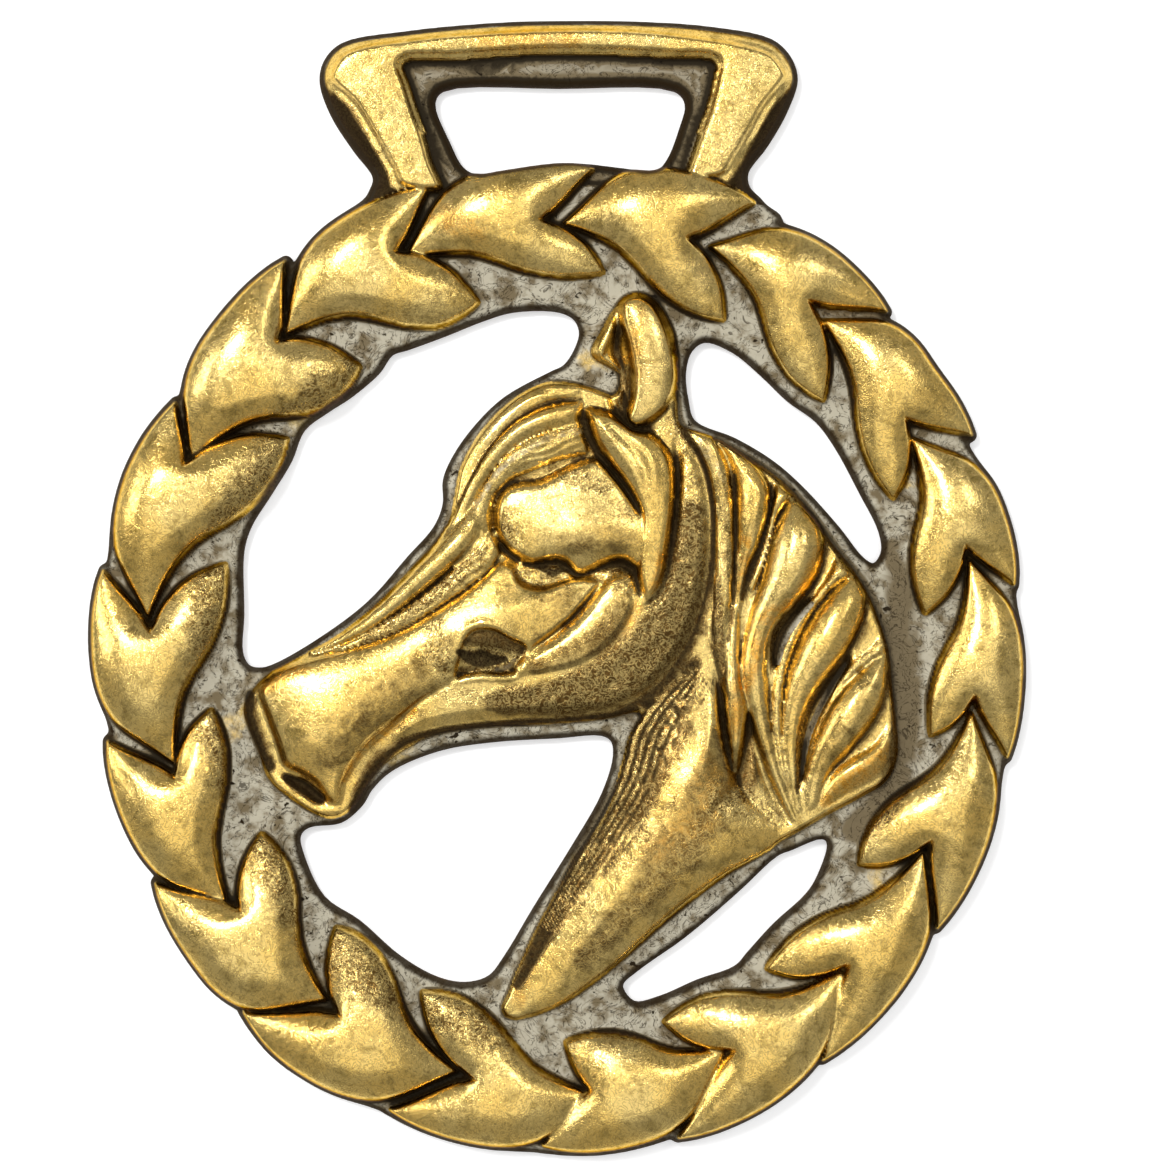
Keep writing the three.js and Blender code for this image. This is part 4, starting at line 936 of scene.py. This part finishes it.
def storeLooks(brass):  # what the finish depends on, kept on each vertex
    points = verticesOf(brass.data)
    x, y = points[:, 0], points[:, 1]
    top = smoothStep(points[:, 2] - sampled(relief["z"], x, y), *upperSide)
    for name, value in hiddenLooks.items():
        values = sampled(relief[name], x, y) * top + value * (1 - top)
        layer = brass.data.attributes.new(name, "FLOAT", "POINT")
        layer.data.foreach_set("value", np.ascontiguousarray(values, dtype=np.float32))


def centreOnCad(brass):  # to the middle of the CAD part's box, and from millimetres to metres
    points = verticesOf(brass.data)
    centre = (cadBox[0] + cadBox[1]) / 2 / mm
    ownCentre = (points.min(0) + points.max(0)) / 2
    points[:, 0] += centre.x - ownCentre[0]
    points[:, 1] += centre.y - ownCentre[1]
    placeVertices(brass.data, points * mm)


brass = makeBlank()
print("blank cut,", len(brass.data.vertices), "vertices")
raiseCasting(brass)
print("raised from its back,", len(brass.data.polygons), "triangles")
thinOut(brass, blank["mostTriangles"])
storeLooks(brass)
centreOnCad(brass)
bpy.ops.object.select_all(action="DESELECT")
brass.select_set(True)
bpy.ops.object.shade_smooth_by_angle(angle=math.radians(blank["smoothUnder"]))
print("casting ready,", len(brass.data.polygons), "triangles")


# the finish
def linear(*rgb):
    return tuple((v / 255) / 12.92 if v <= 10 else ((v / 255 + 0.055) / 1.055) ** 2.4 for v in rgb) + (1,)


finish = {
    "gold": linear(240, 200, 107), "straw": linear(232, 205, 130), "olive": linear(166, 138, 68),
    "amber": linear(216, 152, 46), "brown": linear(100, 74, 34), "patinaAndShade": linear(42, 31, 17),
    "edgeTint": linear(214, 176, 120), "specular": 0.3,
    "ash": linear(190, 184, 164), "ashDeep": linear(116, 104, 80), "soot": linear(28, 24, 19),
    "goldRoughness": 0.15, "patinaRoughness": 0.6, "ashRoughness": 0.3, "speckRoughness": 0.08,
    "bump": 0.34, "bumpHeight": 0.00012,
}
# scale, detail, roughness and distortion of each noise
noises = {
    "fine": (2000, 3, 0.55, 1.2), "speck": (3800, 2, 0.5, 0.8),
    "blotch": (760, 5, 0.62, 0.5), "cloud": (190, 3, 0.5, 0),
    "curl": (1700, 1.5, 0.5, 2.4), "scratch": (1150, 2, 0.5, 2.8), "crack": (520, 3, 0.6, 2.6),
    "stain": (620, 4, 0.6, 0), "pinholes": (1500, 4, 0.6, 0.6), "holes": (950, 3, 0.5, 0.3),
}


def node(tree, kind, **values):
    made = tree.nodes.new(kind)
    for key, value in values.items():
        if key in made.inputs.keys():
            made.inputs[key].default_value = value
        else:
            setattr(made, key, value)
    return made


def brassFinish():
    material = bpy.data.materials.new("antique brass")
    material.use_nodes = True
    tree = material.node_tree
    tree.nodes.clear()
    link = tree.links.new
    out = node(tree, "ShaderNodeOutputMaterial")
    shader = node(tree, "ShaderNodeBsdfPrincipled")
    shader.inputs["Specular Tint"].default_value = finish["edgeTint"]
    shader.inputs["Specular IOR Level"].default_value = finish["specular"]
    link(shader.outputs["BSDF"], out.inputs["Surface"])
    where = node(tree, "ShaderNodeTexCoord").outputs["Object"]

    def attribute(name):
        return node(tree, "ShaderNodeAttribute", attribute_name=name).outputs["Fac"]

    def noise(name):
        values = dict(zip(("Scale", "Detail", "Roughness", "Distortion"), noises[name]))
        n = node(tree, "ShaderNodeTexNoise", **values)
        link(where, n.inputs["Vector"])
        return n.outputs["Fac"]

    def ramp(value, low, high, to=(0, 1)):
        n = node(tree, "ShaderNodeMapRange", interpolation_type="SMOOTHSTEP")
        link(value, n.inputs["Value"])
        for key, v in zip(("From Min", "From Max", "To Min", "To Max"), (low, high, *to)):
            n.inputs[key].default_value = v
        return n.outputs["Result"]

    def reckon(operation, a, b):
        n = node(tree, "ShaderNodeMath", operation=operation)
        for k, v in enumerate((a, b)):
            if isinstance(v, (int, float)):
                n.inputs[k].default_value = v
            else:
                link(v, n.inputs[k])
        return n.outputs[0]

    def add(a, b):
        return reckon("ADD", a, b)

    def less(a, b):
        return reckon("SUBTRACT", a, b)

    def times(a, b):
        return reckon("MULTIPLY", a, b)

    def larger(a, b):
        return reckon("MAXIMUM", a, b)

    def swing(value, share):  # a noise about its middle
        return times(less(value, 0.5), share)

    def threads(name, width, core):  # thin lines where a noise crosses its middle
        return ramp(reckon("ABSOLUTE", less(noise(name), 0.5), 0.0), width, core)

    def mix(amount, a, b):
        n = node(tree, "ShaderNodeMix", data_type="RGBA")
        link(amount, n.inputs[0])
        for socket, v in ((n.inputs[6], a), (n.inputs[7], b)):
            if isinstance(v, tuple):
                socket.default_value = v
            else:
                link(v, socket)
        return n.outputs[2]

    ash, dark, pits, amber, edge = (attribute(n) for n in ("ash", "dark", "pits", "amber", "edge"))
    fine, speck, blotch, cloud = (noise(n) for n in ("fine", "speck", "blotch", "cloud"))
    curl = threads("curl", 0.1, 0.02)
    scratch = threads("scratch", 0.06, 0.01)

    # bright brass, clouded and pitted
    colour = mix(ramp(cloud, 0.35, 0.7), finish["gold"], finish["straw"])
    colour = mix(times(ramp(blotch, 0.46, 0.68), 0.75), colour, finish["olive"])
    amberSpread = add(amber, times(ramp(cloud, 0.55, 0.75), 0.25))
    colour = mix(times(amberSpread, ramp(blotch, 0.7, 0.4)), colour, finish["amber"])
    pitted = times(ramp(fine, 0.5, 0.6), add(times(pits, 0.85), 0.06))
    flecks = times(ramp(speck, 0.6, 0.7), add(times(pits, 0.35), 0.1))
    colour = mix(larger(pitted, flecks), colour, finish["brown"])
    colour = mix(times(scratch, 0.4), colour, finish["brown"])

    # brown stain round the grime and painted shade, near black in it, fine worn lines over both
    colour = mix(ramp(add(dark, swing(blotch, 0.8)), 0.12, 0.62), colour, finish["brown"])
    deep = ramp(add(dark, swing(fine, 0.4)), 0.5, 0.95)
    colour = mix(deep, colour, finish["patinaAndShade"])
    worn = times(curl, add(times(pits, 0.4), 0.22))
    colour = mix(times(worn, ramp(dark, 0.5, 0.9, (1.0, 0.1))), colour, finish["straw"])

    # the grey skin of the flange, stained and darkened where the painted shadow lies at the foot of the
    # relief, with sooty holes and cracks
    stainedAndShaded = larger(ramp(noise("stain"), 0.42, 0.64), ramp(dark, 0.08, 0.5))
    chalk = mix(stainedAndShaded, finish["ash"], finish["ashDeep"])
    holes = larger(ramp(noise("pinholes"), 0.64, 0.69), ramp(noise("holes"), 0.67, 0.71))
    holes = larger(holes, times(threads("crack", 0.03, 0.005), 0.75))
    chalk = mix(larger(holes, times(deep, 0.9)), chalk, finish["soot"])
    ashAmount = ramp(add(ash, swing(blotch, 0.5)), 0.32, 0.62)
    colour = mix(ashAmount, colour, chalk)
    rimDark = ramp(add(edge, swing(blotch, 0.5)), 0.62, 0.26)
    colour = mix(times(rimDark, 0.93), colour, finish["patinaAndShade"])
    link(colour, shader.inputs["Base Color"])

    dull = larger(deep, rimDark)
    bareMetal = less(1.0, times(ashAmount, 0.9))
    link(times(bareMetal, ramp(dull, 0.0, 1.0, (1.0, 0.6))), shader.inputs["Metallic"])
    dulled = larger(dull, times(pitted, 0.7))
    rough = ramp(dulled, 0.0, 1.0, (finish["goldRoughness"], finish["patinaRoughness"]))
    rough = add(rough, times(ashAmount, finish["ashRoughness"]))
    link(add(rough, times(ramp(speck, 0.4, 0.7), finish["speckRoughness"])), shader.inputs["Roughness"])

    raised = add(times(fine, 0.13), times(speck, 0.05))
    raised = less(raised, times(pitted, 0.3))
    raised = add(raised, times(curl, add(times(pits, 0.26), 0.07)))
    raised = less(raised, times(scratch, 0.1))
    bump = node(tree, "ShaderNodeBump", Strength=finish["bump"], Distance=finish["bumpHeight"])
    link(raised, bump.inputs["Height"])
    link(bump.outputs["Normal"], shader.inputs["Normal"])
    return material


brass.data.materials.clear()
brass.data.materials.append(brassFinish())
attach(brass, "root")
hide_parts("horse_brass")


# floor, light and camera
def plainMaterial(name, colour, roughness):
    material = bpy.data.materials.new(name)
    material.use_nodes = True
    shader = material.node_tree.nodes["Principled BSDF"]
    shader.inputs["Base Color"].default_value = colour
    shader.inputs["Roughness"].default_value = roughness
    return material


studio = {"floorSize": 3.0, "floorZ": -0.00005, "floor": (0.9, 0.9, 0.9, 1), "floorGlow": 0.45,
    "world": 0.39}
bpy.ops.object.select_all(action="DESELECT")
bpy.ops.mesh.primitive_plane_add(size=studio["floorSize"], location=(0, 0, studio["floorZ"]))
floor = bpy.context.object
floor.name = "floor"
floor.data.materials.append(plainMaterial("pale floor", studio["floor"], 0.9))
floorShader = floor.data.materials[0].node_tree.nodes["Principled BSDF"]
floorShader.inputs["Emission Color"].default_value = studio["floor"]
floorShader.inputs["Emission Strength"].default_value = studio["floorGlow"]

lamps = [    # name, where it stands, size, power
    ("key", (-0.27, 0.30, 0.80), 0.14, 2.6),
    ("left strip", (-0.62, 0.16, 0.42), 0.3, 1.3),
    ("right lamp", (0.36, 0.32, 0.74), 0.2, 0.65),
    ("overhead", (-0.02, 0.0, 0.9), 0.9, 2.0),
]
for name, place, size, power in lamps:
    bpy.ops.object.light_add(type="AREA", location=place)
    lamp = bpy.context.object
    lamp.name = name
    lamp.data.size = size
    lamp.data.energy = power
    lamp.rotation_euler = (-lamp.location).to_track_quat("-Z", "Y").to_euler()

world = bpy.data.worlds.new("studio")
bpy.context.scene.world = world
world.use_nodes = True
world.node_tree.nodes["Background"].inputs["Color"].default_value = (1, 1, 1, 1)
world.node_tree.nodes["Background"].inputs["Strength"].default_value = studio["world"]
bpy.context.scene.view_settings.view_transform = "Standard"

# frameWidth is how much of the brass's plane the picture takes in
lens = {"focal": 120.0, "sensor": 36.0, "frameWidth": 0.09261,
    "aimX": 0.00221, "aimY": 0.00028, "aimZ": 0.0015}
above = lens["aimZ"] + lens["frameWidth"] * lens["focal"] / lens["sensor"]
bpy.ops.object.camera_add(location=(lens["aimX"], lens["aimY"], above), rotation=(0, 0, 0))
camera = bpy.context.object
camera.data.lens = lens["focal"]
camera.data.sensor_width = lens["sensor"]
camera.data.clip_start = 0.01
bpy.context.scene.camera = camera
